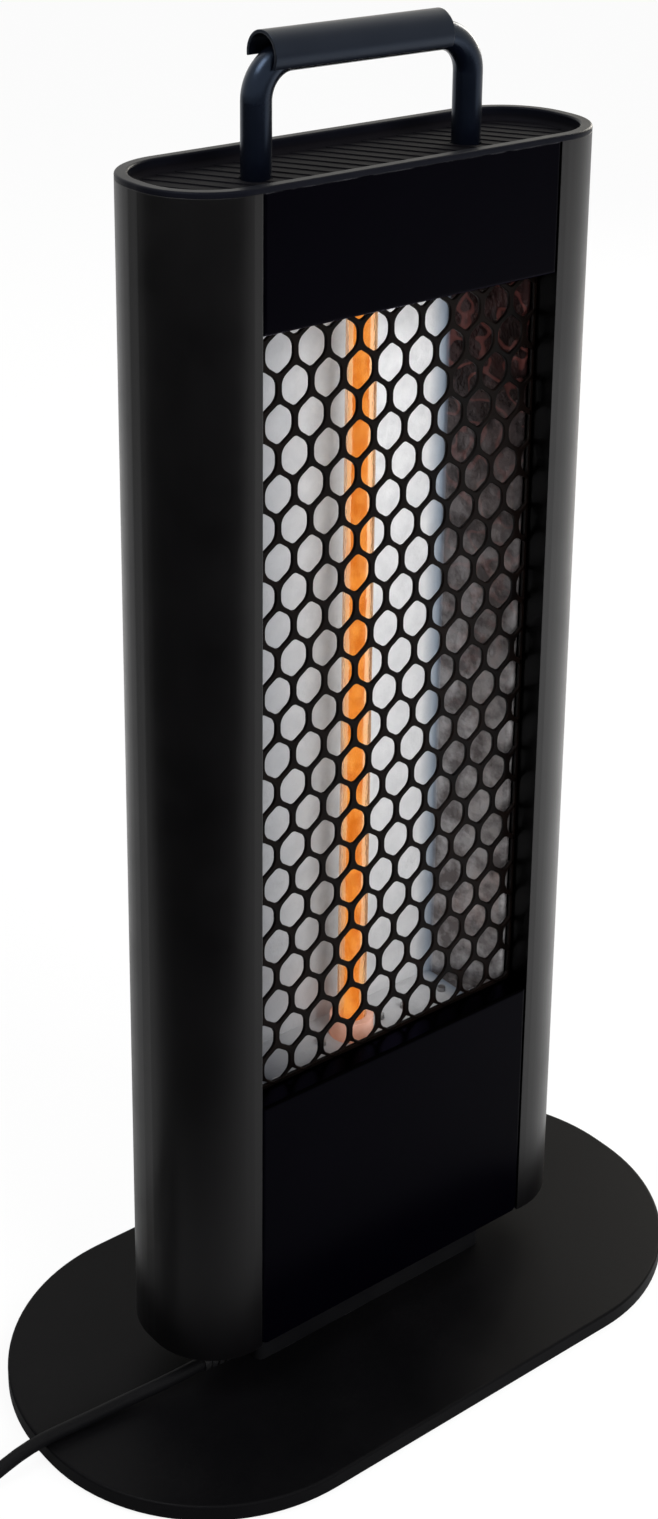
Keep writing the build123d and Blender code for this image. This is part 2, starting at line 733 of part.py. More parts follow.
def make_crossplate(bottom_z, away, lip_z, extra_points):
    """A plate with side and rear flanges away from the window and a front lip towards it.

    Away is 1 for the upper plate and -1 for the lower one.
    """
    outer_z = bottom_z + press_sheet if away > 0 else bottom_z
    inner_z = bottom_z if away > 0 else bottom_z + press_sheet
    screw_z = outer_z + away * plate_flange / 2
    screw_level = [z for _, z in cover_screw_points if abs(z - lip_z) < grille_top_overlap][0]
    with BuildPart() as plate:
        with BuildSketch(Plane.XY.offset(bottom_z)):
            with Locations((0, (chassis_y_front + tongue_y) / 2)):
                Rectangle(2 * crossplate_half_width, tongue_y - chassis_y_front)
            with Locations((0, (tongue_y + chassis_y_rear) / 2)):
                Rectangle(2 * tongue_half_width, chassis_y_rear - tongue_y)
            Circle(ceramic_radius + seat_clearance, mode=Mode.SUBTRACT)
            with Locations((wire_x, wire_y)):
                Circle(wire_hole_radius, mode=Mode.SUBTRACT)
            with Locations(*clip_screw_points, *extra_points):
                Circle(small_screw_radius + thread_clearance, mode=Mode.SUBTRACT)
        extrude(amount=press_sheet)
        with BuildSketch(Plane.XY.offset(outer_z)):
            for side in (-1, 1):
                with Locations((side * (crossplate_half_width - press_sheet / 2), 0)):
                    Rectangle(press_sheet, bracket_depth)
            with Locations((0, chassis_y_rear - press_sheet / 2)):
                Rectangle(2 * tongue_half_width, press_sheet)
        extrude(amount=away * plate_flange)
        with BuildSketch(Plane.XY.offset(inner_z)):
            with Locations((0, chassis_y_front + press_sheet / 2)):
                Rectangle(2 * crossplate_half_width, press_sheet)
        extrude(amount=lip_z - inner_z)
        with BuildSketch(Plane.YZ.offset(-crossplate_half_width)):
            with Locations(*[(y, screw_z) for y in (-flange_screw_y, flange_screw_y)]):
                Circle(small_screw_radius + slide_clearance)
        extrude(amount=2 * crossplate_half_width, mode=Mode.SUBTRACT)
        with BuildSketch(Plane.XZ.offset(-chassis_y_rear)):
            with Locations((-rear_screw_x, screw_z), (rear_screw_x, screw_z)):
                Circle(small_screw_radius + thread_clearance)
        extrude(amount=press_sheet, mode=Mode.SUBTRACT)
        with BuildSketch(Plane.XZ.offset(-chassis_y_front)):
            with Locations(*[(x, screw_level) for x in cover_screw_xs]):
                Circle(small_screw_radius + slide_clearance)
        extrude(amount=-press_sheet, mode=Mode.SUBTRACT)
    return plate


save(make_crossplate(upper_plate_z, 1, window_top_z + seat_clearance, []), "crossplate_upper")
save(
    make_crossplate(lower_plate_z, -1, window_bottom_z - seat_clearance, cutout_screw_points),
    "crossplate_lower",
)

with BuildPart() as cover_screws:
    for x, z in cover_screw_points:
        add(pan_screw((x, chassis_y_front + press_sheet, z), (0, -1, 0), cover_screw_length))
save(cover_screws, "cover_screws")

side_screw_length = 8.0

with BuildPart() as side_screws:
    for y, z in flange_screw_places:
        seat_x = crossplate_half_width - press_sheet
        if z == flange_screw_levels[-1]:
            seat_x = bracket_width / 2 - bracket_sheet
        for side in (-1, 1):
            add(pan_screw((side * seat_x, y, z), (side, 0, 0), side_screw_length))
save(side_screws, "side_screws")

# Reflector: a bright folded trough, its two end plates and the heat shield behind it
trough_front_y = chassis_y_front + press_sheet + seat_clearance
lip_half_width = seam_x - 2 * seat_clearance
trough_back_x = reflector_back_width / 2
trough_front_x = reflector_front_width / 2
trough_points = [
    (lip_half_width, trough_front_y),
    (trough_front_x, trough_front_y),
    (trough_back_x, reflector_back_y),
    (-trough_back_x, reflector_back_y),
    (-trough_front_x, trough_front_y),
    (-lip_half_width, trough_front_y),
]
trough_bend = 3.0

with BuildPart() as reflector:
    with BuildSketch(Plane.XY.offset(reflector_bottom_z)):
        with BuildLine() as trough_line:
            FilletPolyline(*trough_points, radius=trough_bend)
            offset(amount=thin_sheet, side=Side.RIGHT)
        make_face()
    extrude(amount=reflector_top_z - reflector_bottom_z)
save(reflector, "reflector")

end_plate_depth = reflector_back_y + thin_sheet - trough_front_y
end_plate_y = (reflector_back_y + thin_sheet + trough_front_y) / 2
end_plates = (
    ("reflector_end_upper", reflector_top_z, []),
    ("reflector_end_lower", reflector_bottom_z - thin_sheet, cutout_screw_points),
)
for name, bottom_z, extra_points in end_plates:
    with BuildPart() as reflector_end:
        with BuildSketch(Plane.XY.offset(bottom_z)):
            with Locations((0, end_plate_y)):
                Rectangle(2 * lip_half_width, end_plate_depth)
            Circle(ceramic_radius + seat_clearance, mode=Mode.SUBTRACT)
            with Locations(*clip_screw_points, *extra_points):
                Circle(small_screw_radius + slide_clearance, mode=Mode.SUBTRACT)
        extrude(amount=thin_sheet)
    save(reflector_end, name)

shield_bottom_z = lower_plate_z + press_sheet
shield_height = upper_plate_z - shield_bottom_z

with BuildPart() as heat_shield:
    with BuildSketch(Plane.XY.offset(shield_bottom_z)):
        with Locations((0, shield_y + thin_sheet / 2)):
            Rectangle(shield_width, thin_sheet)
        for side in (-1, 1):
            with Locations((side * (shield_width - thin_sheet) / 2, shield_y - shield_return / 2)):
                Rectangle(thin_sheet, shield_return)
    extrude(amount=shield_height)
save(heat_shield, "heat_shield")

# Heating element: a carbon core in a quartz tube between two ceramic caps
collar_radius = 14.0
collar_height = 3.0
cap_reach = 12.3
lead_radius = 1.0
core_gap = 8.0
upper_seat_z = upper_plate_z + press_sheet
lower_seat_z = lower_plate_z


def make_ceramic_cap(seat_z, away):
    """A cap with a collar on the crossplate's outer face and a socket towards the window."""
    mouth_z = seat_z - away * cap_reach
    with BuildPart() as ceramic:
        with BuildSketch(Plane.XY.offset(mouth_z)):
            Circle(ceramic_radius)
        extrude(amount=away * ceramic_length)
        with BuildSketch(Plane.XY.offset(seat_z)):
            Circle(collar_radius)
        extrude(amount=away * collar_height)
        with BuildSketch(Plane.XY.offset(mouth_z)):
            Circle(element_radius + thread_clearance)
        extrude(amount=away * ceramic_socket, mode=Mode.SUBTRACT)
        with BuildSketch(Plane.XY.offset(mouth_z)):
            Circle(lead_radius + thread_clearance)
        extrude(amount=away * ceramic_length, mode=Mode.SUBTRACT)
    return ceramic


save(make_ceramic_cap(upper_seat_z, 1), "ceramic_cap_upper")
save(make_ceramic_cap(lower_seat_z, -1), "ceramic_cap_lower")

tube_bottom_z = lower_seat_z + cap_reach - ceramic_socket
tube_top_z = upper_seat_z - cap_reach + ceramic_socket
core_bottom_z = tube_bottom_z + core_gap
core_top_z = tube_top_z - core_gap

with BuildPart() as quartz_tube:
    with BuildSketch(Plane.XY.offset(tube_bottom_z)):
        Circle(element_radius)
        Circle(element_radius - element_wall, mode=Mode.SUBTRACT)
    extrude(amount=tube_top_z - tube_bottom_z)
save(quartz_tube, "quartz_tube")

with BuildPart() as carbon_core:
    with BuildSketch(Plane.XY.offset(core_bottom_z)):
        Circle(core_radius)
    extrude(amount=core_top_z - core_bottom_z)
save(carbon_core, "carbon_core")

lower_lead_z = lower_seat_z + cap_reach - ceramic_length
upper_lead_z = upper_seat_z - cap_reach + ceramic_length

with BuildPart() as element_leads:
    with BuildSketch(Plane.XY.offset(lower_lead_z)):
        Circle(lead_radius)
    extrude(amount=core_bottom_z - lower_lead_z)
    with BuildSketch(Plane.XY.offset(core_top_z)):
        Circle(lead_radius)
    extrude(amount=upper_lead_z - core_top_z)
save(element_leads, "element_leads")

clip_length = 44.0
clip_width = 26.0
clip_screw_length = 8.6
clip_levels = ((upper_seat_z + collar_height, 1), (lower_seat_z - collar_height, -1))

with BuildPart() as element_clips:
    for level_z, away in clip_levels:
        with BuildSketch(Plane.XY.offset(level_z)):
            RectangleRounded(clip_length, clip_width, clip_width / 4)
            Circle(ceramic_radius + slide_clearance, mode=Mode.SUBTRACT)
            with Locations(*clip_screw_points):
                Circle(small_screw_radius + slide_clearance, mode=Mode.SUBTRACT)
        extrude(amount=away * sheet)
save(element_clips, "element_clips")

with BuildPart() as clip_screws:
    for level_z, away in clip_levels:
        for x, y in clip_screw_points:
            add(pan_screw((x, y, level_z + away * sheet), (0, 0, -away), clip_screw_length))
save(clip_screws, "clip_screws")

# Terminal block and thermal cut-out
block_width = 36.0
block_depth = 16.0
block_height = 20.0
pole_pitch = 12.0
pole_radius = 3.2
pole_depth = 5.0
pole_xs = (block_x - pole_pitch, block_x, block_x + pole_pitch)
block_top_z = bottom_cap_top_z + block_height
supply_y = -2.0
load_y = 4.0
block_screw_bite = 2.4
block_screw_length = block_height + block_screw_bite

with BuildPart() as terminal_block:
    with BuildSketch(Plane.XY.offset(bottom_cap_top_z)):
        with Locations((block_x, 0)):
            RectangleRounded(block_width, block_depth, sheet)
        with Locations(*block_screw_points):
            Circle(small_screw_radius + slide_clearance, mode=Mode.SUBTRACT)
    extrude(amount=block_height)
    with BuildSketch(Plane.XZ.offset(block_depth / 2)):
        with Locations(*[(x, bottom_cap_top_z + block_height / 2) for x in pole_xs]):
            Circle(pole_radius)
    extrude(amount=-pole_depth, mode=Mode.SUBTRACT)
save(terminal_block, "terminal_block")

with BuildPart() as terminal_screws:
    for x in pole_xs:
        with BuildSketch(Plane.XZ.offset(block_depth / 2 - pole_depth)):
            with Locations((x, bottom_cap_top_z + block_height / 2)):
                Circle(pole_radius - slide_clearance)
        extrude(amount=pole_depth / 2)
save(terminal_screws, "terminal_screws")

with BuildPart() as block_screws:
    for x, y in block_screw_points:
        add(pan_screw((x, y, block_top_z), (0, 0, -1), block_screw_length))
save(block_screws, "block_screws")

cutout_radius = 8.0
cutout_height = 9.0
cutout_flange_length = 32.0
cutout_flange_width = 9.0
cutout_tab_x = 4.0
cutout_tab_length = 7.0
tab_width = 6.3
tab_thickness = 0.8
cutout_flange_z = lower_plate_z - thin_sheet
cutout_tab_z = cutout_flange_z - cutout_height - cutout_tab_length
cutout_screw_length = 5.0

with BuildPart() as thermal_cutout:
    with BuildSketch(Plane.XY.offset(lower_plate_z)):
        with Locations((cutout_x, 0)):
            RectangleRounded(cutout_flange_length, cutout_flange_width, cutout_flange_width / 4)
        with Locations(*cutout_screw_points):
            Circle(small_screw_radius + slide_clearance, mode=Mode.SUBTRACT)
    extrude(amount=-thin_sheet)
    with BuildSketch(Plane.XY.offset(cutout_flange_z)):
        with Locations((cutout_x, 0)):
            Circle(cutout_radius)
    extrude(amount=-cutout_height)
    with BuildSketch(Plane.XY.offset(cutout_flange_z - cutout_height)):
        for side in (-1, 1):
            with Locations((cutout_x + side * cutout_tab_x, 0)):
                Rectangle(tab_thickness, tab_width)
    extrude(amount=-cutout_tab_length)
save(thermal_cutout, "thermal_cutout")

with BuildPart() as cutout_screws:
    for x, y in cutout_screw_points:
        add(pan_screw((x, y, cutout_flange_z), (0, 0, 1), cutout_screw_length))
save(cutout_screws, "cutout_screws")

# Tilt switch: a weight that hangs between two cheeks and opens a contact when the heater leans
tilt_x = -68.0
tilt_base_width = 17.0
tilt_base_depth = 42.0
cheek_height = 32.0
cheek_depth = 12.0
cheek_gap = 12.0
pivot_rise = 27.0
pivot_radius = 1.5
eye_radius = 3.4
weight_radius = 4.6
weight_height = 8.0
weight_drop = 16.0
contact_y = 12.5
contact_depth = 6.5
contact_height = 13.0
pivot_z = bottom_cap_top_z + pivot_rise

with BuildPart() as tilt_frame:
    with BuildSketch(Plane.XY.offset(bottom_cap_top_z)):
        with Locations((tilt_x, 0)):
            Rectangle(tilt_base_width, tilt_base_depth)
    extrude(amount=press_sheet)
    for side in (-1, 1):
        with BuildSketch(Plane.XY.offset(bottom_cap_top_z)):
            with Locations((tilt_x + side * (cheek_gap + press_sheet) / 2, 0)):
                Rectangle(press_sheet, cheek_depth)
        extrude(amount=cheek_height)
    with BuildSketch(Plane.YZ.offset(tilt_x - tilt_base_width / 2)):
        with Locations((0, pivot_z)):
            Circle(pivot_radius + thread_clearance)
    extrude(amount=tilt_base_width, mode=Mode.SUBTRACT)
save(tilt_frame, "tilt_frame")

with BuildPart() as tilt_pin:
    with BuildSketch(Plane.YZ.offset(tilt_x - tilt_base_width / 2)):
        with Locations((0, pivot_z)):
            Circle(pivot_radius)
    extrude(amount=tilt_base_width)
save(tilt_pin, "tilt_pin")

with BuildPart() as tilt_weight:
    with BuildSketch(Plane.YZ.offset(tilt_x - eye_radius / 2)):
        with Locations((0, pivot_z)):
            Circle(eye_radius)
        with Locations((0, pivot_z - weight_drop / 2)):
            Rectangle(eye_radius, weight_drop)
    extrude(amount=eye_radius)
    with BuildSketch(Plane.XY.offset(pivot_z - weight_drop - weight_height / 2)):
        with Locations((tilt_x, 0)):
            Circle(weight_radius)
    extrude(amount=weight_height)
    with BuildSketch(Plane.YZ.offset(tilt_x - eye_radius / 2)):
        with Locations((0, pivot_z)):
            Circle(pivot_radius + thread_clearance)
    extrude(amount=eye_radius, mode=Mode.SUBTRACT)
save(tilt_weight, "tilt_weight")

with BuildPart() as tilt_contact:
    with BuildSketch(Plane.XY.offset(bottom_cap_top_z + press_sheet)):
        with Locations((tilt_x, contact_y + contact_depth / 2)):
            Rectangle(cheek_gap, contact_depth)
    extrude(amount=contact_height)
save(tilt_contact, "tilt_contact")

# Power switch: a rocker in a snap-in housing through the rear cover
bezel_width = 26.0
bezel_height = 32.0
bezel_thickness = 2.0
bezel_edge_share = 0.25
bezel_corner = 2.0
housing_depth = 20.0
rocker_width = 16.0
rocker_reach = 11.0
rocker_tilt = 10.0
rocker_crown = 2.0
rocker_back = 6.0
rocker_clearance = 0.35
rocker_pin_radius = 1.5
rocker_pin_length = 1.5
rocker_pivot_y = rear_y
housing_bottom_gap = 1.2
bezel_y = rear_y + bezel_thickness
housing_y = rear_y - housing_depth
cavity_reach = rocker_reach + rocker_clearance
cavity_floor_y = rocker_pivot_y - rocker_back - rocker_reach * sin(radians(rocker_tilt)) - housing_bottom_gap
switch_tab_rise = 7.0
switch_tab_length = 8.0
switch_tab_y = housing_y - switch_tab_length

with BuildPart() as switch_housing:
    with BuildSketch(Plane.XZ.offset(-rear_y)):
        with Locations((0, switch_z)):
            RectangleRounded(bezel_width, bezel_height, bezel_corner)
    extrude(amount=-bezel_thickness)
    fillet(switch_housing.faces().sort_by(Axis.Y)[-1].edges(), radius=bezel_edge_share * bezel_thickness)
    with BuildSketch(Plane.XZ.offset(-rear_y)):
        with Locations((0, switch_z)):
            Rectangle(
                switch_cutout_width - 2 * slide_clearance,
                switch_cutout_height - 2 * slide_clearance,
            )
    extrude(amount=housing_depth)
    with BuildSketch(Plane.XZ.offset(-bezel_y)):
        with Locations((0, switch_z)):
            Rectangle(rocker_width + 2 * rocker_clearance, 2 * cavity_reach)
    extrude(amount=bezel_y - cavity_floor_y, mode=Mode.SUBTRACT)
    with BuildSketch(Plane.YZ.offset(-rocker_width / 2 - rocker_pin_length - rocker_clearance)):
        with Locations((rocker_pivot_y, switch_z)):
            Circle(rocker_pin_radius + thread_clearance)
    extrude(amount=rocker_width + 2 * rocker_pin_length + 2 * rocker_clearance, mode=Mode.SUBTRACT)
save(switch_housing, "switch_housing")

rocker_end_y = rocker_crown + rocker_reach * sin(radians(rocker_tilt))

with BuildPart() as power_rocker:
    with BuildSketch(Plane.YZ.offset(-rocker_width / 2)):
        Polygon(
            (-rocker_back, -rocker_reach),
            (rocker_end_y, -rocker_reach),
            (rocker_crown, 0),
            (rocker_end_y, rocker_reach),
            (-rocker_back, rocker_reach),
            align=None,
        )
        Circle(rocker_reach, mode=Mode.INTERSECT)
    extrude(amount=rocker_width)
    with BuildSketch(Plane.YZ.offset(-rocker_width / 2 - rocker_pin_length)):
        Circle(rocker_pin_radius)
    extrude(amount=rocker_width + 2 * rocker_pin_length)
rocker_seat = Pos(0, rocker_pivot_y, switch_z) * Rot(rocker_tilt, 0, 0)
power_rocker.part = rocker_seat * power_rocker.part
save(power_rocker, "power_rocker")

with BuildPart() as switch_tabs:
    with BuildSketch(Plane.XZ.offset(-housing_y)):
        with Locations((0, switch_z - switch_tab_rise), (0, switch_z + switch_tab_rise)):
            Rectangle(tab_width, tab_thickness)
    extrude(amount=switch_tab_length)
save(switch_tabs, "switch_tabs")

# Inlet cable and the wires between the electrical pieces
inlet_bend = 20.0
inlet_rise = 26.0
inlet_top_z = bottom_cap_top_z + inlet_rise
relief_inner_x = stand_left_x + stand_wall

with BuildPart() as inlet_cable:
    with BuildLine() as inlet_path:
        FilletPolyline(
            (relief_inner_x, cord_exit_y, cord_exit_z),
            (cord_riser_x, cord_exit_y, cord_exit_z),
            (cord_riser_x, cord_exit_y, inlet_top_z),
            radius=inlet_bend,
        )
    with BuildSketch(Plane.YZ.offset(relief_inner_x)):
        with Locations((cord_exit_y, cord_exit_z)):
            Circle(cord_radius)
    sweep(path=inlet_path.wires()[0])
save(inlet_cable, "inlet_cable")

wire_bend = 3.0
wire_step = 6.0
conductor_pitch = 2.0
conductor_rise = 14.0
conductor_top_z = inlet_top_z + conductor_rise
switch_wire_z = conductor_top_z + 3 * wire_step
lower_tab_z = switch_z - switch_tab_rise
upper_tab_z = switch_z + switch_tab_rise
switch_wire_y = -8.0
cutout_wire_drop = 10.0
cutout_wire_z = cutout_tab_z - cutout_wire_drop
element_wire_rise = 6.8
element_wire_z = upper_lead_z + element_wire_rise
neutral_wire_drop = 5.5
neutral_z = lower_lead_z - neutral_wire_drop
neutral_x = -16.0
neutral_clearance = 12.0
neutral_drop_z = block_top_z + neutral_clearance
earth_y = 14.0
earth_clearance = 7.0
earth_z = block_top_z + earth_clearance
wire_routes = [
    [
        (cord_riser_x + (1 - k) * conductor_pitch, cord_exit_y, inlet_top_z),
        (cord_riser_x + (1 - k) * conductor_pitch, cord_exit_y, conductor_top_z + k * wire_step),
        (pole_xs[k], supply_y, conductor_top_z + k * wire_step),
        (pole_xs[k], supply_y, block_top_z),
    ]
    for k in range(3)
]
wire_routes.append(
    [
        (pole_xs[2], load_y, block_top_z),
        (pole_xs[2], load_y, switch_wire_z),
        (0, switch_wire_y, switch_wire_z),
        (0, switch_wire_y, lower_tab_z),
        (0, switch_tab_y, lower_tab_z),
    ]
)
wire_routes.append(
    [
        (0, switch_tab_y, upper_tab_z),
        (0, switch_wire_y / 2, upper_tab_z),
        (cutout_x - cutout_tab_x, 0, cutout_wire_z),
        (cutout_x - cutout_tab_x, 0, cutout_tab_z),
    ]
)
wire_routes.append(
    [
        (cutout_x + cutout_tab_x, 0, cutout_tab_z),
        (cutout_x + cutout_tab_x, 0, cutout_wire_z),
        (wire_x, wire_y, cutout_wire_z),
        (wire_x, wire_y, element_wire_z),
        (0, 0, element_wire_z),
        (0, 0, upper_lead_z),
    ]
)
wire_routes.append(
    [
        (0, 0, lower_lead_z),
        (0, 0, neutral_z),
        (neutral_x, 0, neutral_z),
        (neutral_x, 0, neutral_drop_z),
        (pole_xs[0], load_y, neutral_drop_z),
        (pole_xs[0], load_y, block_top_z),
    ]
)
wire_routes.append(
    [
        (pole_xs[1], load_y, block_top_z),
        (pole_xs[1], load_y, earth_z),
        (pole_xs[1], earth_y, earth_z),
        (pole_xs[1], earth_y, bottom_cap_top_z),
    ]
)

with BuildPart() as supply_wires:
    for route in wire_routes:
        with BuildLine() as wire_path:
            FilletPolyline(*route, radius=wire_bend)
        start = wire_path.wires()[0]
        with BuildSketch(Plane(origin=start @ 0, z_dir=start % 0)):
            Circle(wire_radius)
        sweep(path=start)
save(supply_wires, "supply_wires")

# Strain relief: a tapered sleeve with a shank in the stand's wall and a collar outside it
relief_flange = 2.0
relief_collar_radius = 6.0
relief_root_radius = 5.2
relief_tip_radius = 3.9
relief_length = 26.0
relief_tip_x = stand_left_x - relief_length
relief_collar_x = stand_left_x - relief_flange

with BuildPart() as strain_relief:
    with BuildSketch(Plane.XZ.offset(-cord_exit_y)):
        Polygon(
            (relief_inner_x, cord_exit_z),
            (relief_inner_x, cord_exit_z + relief_shank_radius),
            (stand_left_x, cord_exit_z + relief_shank_radius),
            (stand_left_x, cord_exit_z + relief_collar_radius),
            (relief_collar_x, cord_exit_z + relief_collar_radius),
            (relief_collar_x, cord_exit_z + relief_root_radius),
            (relief_tip_x, cord_exit_z + relief_tip_radius),
            (relief_tip_x, cord_exit_z),
            align=None,
        )
    revolve(axis=Axis((0, cord_exit_y, cord_exit_z), (1, 0, 0)))
save(strain_relief, "strain_relief")

# Power cord: the free stretch over the base plate and down to the table
on_plate_z = plate_top_z + cord_radius + floor_clearance
on_table_z = cord_radius + floor_clearance
coil_x = -242.0
coil_entry_y = -1.0
coil_lead = 2 * cord_radius
cord_points = [
    (relief_tip_x, cord_exit_y, cord_exit_z),
    (-113.0, cord_exit_y, cord_exit_z),
    (-132.0, -6.4, 13.4),
    (-158.0, -4.4, on_plate_z),
    (-186.0, -2.2, on_plate_z),
    (-211.0, coil_entry_y, on_table_z),
    (coil_x + coil_lead, coil_entry_y, on_table_z),
]
bend_share = 0.45
cord_runs = [
    Vector(*end) - Vector(*start) for start, end in zip(cord_points[:-1], cord_points[1:])
]
cord_bends = [
    bend_share * min(first.length, second.length) / tan(radians(first.get_angle(second) / 2))
    for first, second in zip(cord_runs[:-1], cord_runs[1:])
]
print("cord bend radii", [round(bend, 1) for bend in cord_bends])

with BuildPart() as power_cord:
    with BuildLine() as cord_path:
        FilletPolyline(*cord_points, radius=cord_bends)
    with BuildSketch(Plane.YZ.offset(relief_tip_x)):
        with Locations((cord_exit_y, cord_exit_z)):
            Circle(cord_radius)
    sweep(path=cord_path.wires()[0])
save(power_cord, "power_cord")

# Cord coil: the put-away length, wound inwards on the table and outwards again on top
half_turns = []
turn_y = coil_entry_y
turn_z = on_table_z
side = 1
for step in range(2 * coil_inward_halves + 1):
    steps_in = coil_inward_halves - abs(step - coil_inward_halves)
    turn_radius = coil_start_radius - steps_in * coil_turn_pitch / 2
    rise = coil_layer_rise if step == coil_inward_halves else 0
    next_y = turn_y + side * 2 * turn_radius
    bulge = sqrt(turn_radius**2 + rise**2 / 4)
    middle = (coil_x - side * bulge, (turn_y + next_y) / 2, turn_z + rise / 2)
    half_turns.append([(coil_x, turn_y, turn_z), middle, (coil_x, next_y, turn_z + rise)])
    turn_y = next_y
    turn_z = turn_z + rise
    side = -side

with BuildPart() as cord_coil:
    with BuildLine() as coil_path:
        Line((coil_x + coil_lead, coil_entry_y, on_table_z), (coil_x, coil_entry_y, on_table_z))
        for half_turn in half_turns:
            ThreePointArc(*half_turn)
        Line((coil_x, turn_y, turn_z), (coil_x + coil_lead, turn_y, turn_z))
    with BuildSketch(Plane.YZ.offset(coil_x + coil_lead)):
        with Locations((coil_entry_y, on_table_z)):
            Circle(cord_radius)
    sweep(path=coil_path.wires()[0])
save(cord_coil, "cord_coil")

coil_wire = coil_path.wires()[0]
coil_samples = 900
coil_marks = [coil_wire @ (k / coil_samples) for k in range(coil_samples + 1)]
coil_spacing = coil_wire.length / coil_samples
skip = int(4 * cord_radius / coil_spacing) + 1
least_gap = min(
    (coil_marks[first] - coil_marks[second]).length
    for first in range(len(coil_marks))
    for second in range(first + skip, len(coil_marks))
)
print("coil least gap to itself", round(least_gap - 2 * cord_radius, 2))
cord_wire = cord_path.wires()[0]
print("cord length on its centre line", round(cord_wire.length + coil_wire.length, 1))
cord_section = pi * cord_radius**2
cord_fill = power_cord.part.volume / cord_section / cord_wire.length
coil_fill = cord_coil.part.volume / cord_section / coil_wire.length
print("cord volume over section and length", round(cord_fill, 4))
print("coil volume over section and length", round(coil_fill, 4))

# Plug: a moulded body that lies on the table beside the coil, with two blades and an earth pin
neck_radius = 4.9
neck_tip_radius = 3.5
neck_length = 23.0
shoulder_length = 8.0
plug_length = 30.0
plug_width = 26.0
plug_corner = 6.0
plug_height = 2 * turn_z - 2 * floor_clearance
shoulder_share = 0.55
blade_pitch = 12.7
blade_width = 6.3
blade_thickness = 1.5
blade_length = 17.0
pin_offset = 11.9
earth_pin_radius = 2.4
earth_pin_length = 20.0
blade_y = turn_y - pin_offset / 2
plug_neck_x = coil_x + coil_lead
shoulder_x = plug_neck_x + neck_length
plug_back_x = shoulder_x + shoulder_length
plug_face_x = plug_back_x + plug_length

with BuildPart() as plug_body:
    with BuildSketch(Plane.YZ.offset(plug_neck_x)):
        with Locations((turn_y, turn_z)):
            Circle(neck_tip_radius)
    with BuildSketch(Plane.YZ.offset(shoulder_x)):
        with Locations((turn_y, turn_z)):
            Circle(neck_radius)
    loft()
    with BuildSketch(Plane.YZ.offset(shoulder_x)):
        with Locations((turn_y, turn_z)):
            RectangleRounded(
                shoulder_share * plug_width,
                shoulder_share * plug_height,
                shoulder_share * plug_corner,
            )
    with BuildSketch(Plane.YZ.offset(plug_back_x)):
        with Locations((turn_y, turn_z)):
            RectangleRounded(plug_width, plug_height, plug_corner)
    loft()
    with BuildSketch(Plane.YZ.offset(plug_back_x)):
        with Locations((turn_y, turn_z)):
            RectangleRounded(plug_width, plug_height, plug_corner)
    extrude(amount=plug_length)
    fillet(plug_body.faces().sort_by(Axis.X)[-1].edges(), radius=sheet)
save(plug_body, "plug_body")

with BuildPart() as plug_blades:
    with BuildSketch(Plane.YZ.offset(plug_face_x)):
        with Locations((blade_y, turn_z - blade_pitch / 2), (blade_y, turn_z + blade_pitch / 2)):
            Rectangle(blade_width, blade_thickness)
    extrude(amount=blade_length)
    with BuildSketch(Plane.YZ.offset(plug_face_x)):
        with Locations((blade_y + pin_offset, turn_z)):
            Circle(earth_pin_radius)
    extrude(amount=earth_pin_length)
save(plug_blades, "plug_blades")
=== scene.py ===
import math

import bmesh
import bpy
from mathutils import Matrix, Vector


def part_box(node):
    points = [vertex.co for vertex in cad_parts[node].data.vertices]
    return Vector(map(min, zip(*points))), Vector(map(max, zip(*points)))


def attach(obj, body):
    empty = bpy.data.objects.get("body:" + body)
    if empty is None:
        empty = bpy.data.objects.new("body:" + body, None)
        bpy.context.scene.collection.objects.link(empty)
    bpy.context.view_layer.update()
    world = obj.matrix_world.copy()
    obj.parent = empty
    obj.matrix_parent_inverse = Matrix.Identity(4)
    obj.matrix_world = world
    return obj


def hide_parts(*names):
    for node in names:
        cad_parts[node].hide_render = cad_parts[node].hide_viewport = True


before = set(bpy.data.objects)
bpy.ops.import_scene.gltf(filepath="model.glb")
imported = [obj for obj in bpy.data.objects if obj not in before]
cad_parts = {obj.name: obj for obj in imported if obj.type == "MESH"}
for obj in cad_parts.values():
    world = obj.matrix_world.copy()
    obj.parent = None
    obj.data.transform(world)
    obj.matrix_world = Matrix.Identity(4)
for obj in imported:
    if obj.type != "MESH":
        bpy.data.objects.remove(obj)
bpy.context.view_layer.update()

# Camera: it stands to the left of the heater, a little above the handle, and looks
# down past the front cover. The frame is shifted down so that the base fills its foot.
camera_place = Vector((-0.60829, -0.74154, 0.79724))
camera_yaw = math.radians(38.536)
camera_pitch = math.radians(18.765)
camera_roll = math.radians(0.601)
ahead = Vector((
    math.sin(camera_yaw) * math.cos(camera_pitch),
    math.cos(camera_yaw) * math.cos(camera_pitch),
    -math.sin(camera_pitch),
))
across = Vector((math.cos(camera_yaw), -math.sin(camera_yaw), 0))
above = across.cross(ahead)
camera_right = across * math.cos(camera_roll) + above * math.sin(camera_roll)
camera_top = above * math.cos(camera_roll) - across * math.sin(camera_roll)
camera_turn = Matrix((camera_right, camera_top, -ahead)).transposed().to_4x4()

camera_data = bpy.data.cameras.new("camera")
camera_data.lens = 55.24
camera_data.sensor_width = 36
camera_data.shift_y = -0.2367
camera = bpy.data.objects.new("camera", camera_data)
camera.matrix_world = Matrix.Translation(camera_place) @ camera_turn
bpy.context.scene.collection.objects.link(camera)
bpy.context.scene.camera = camera

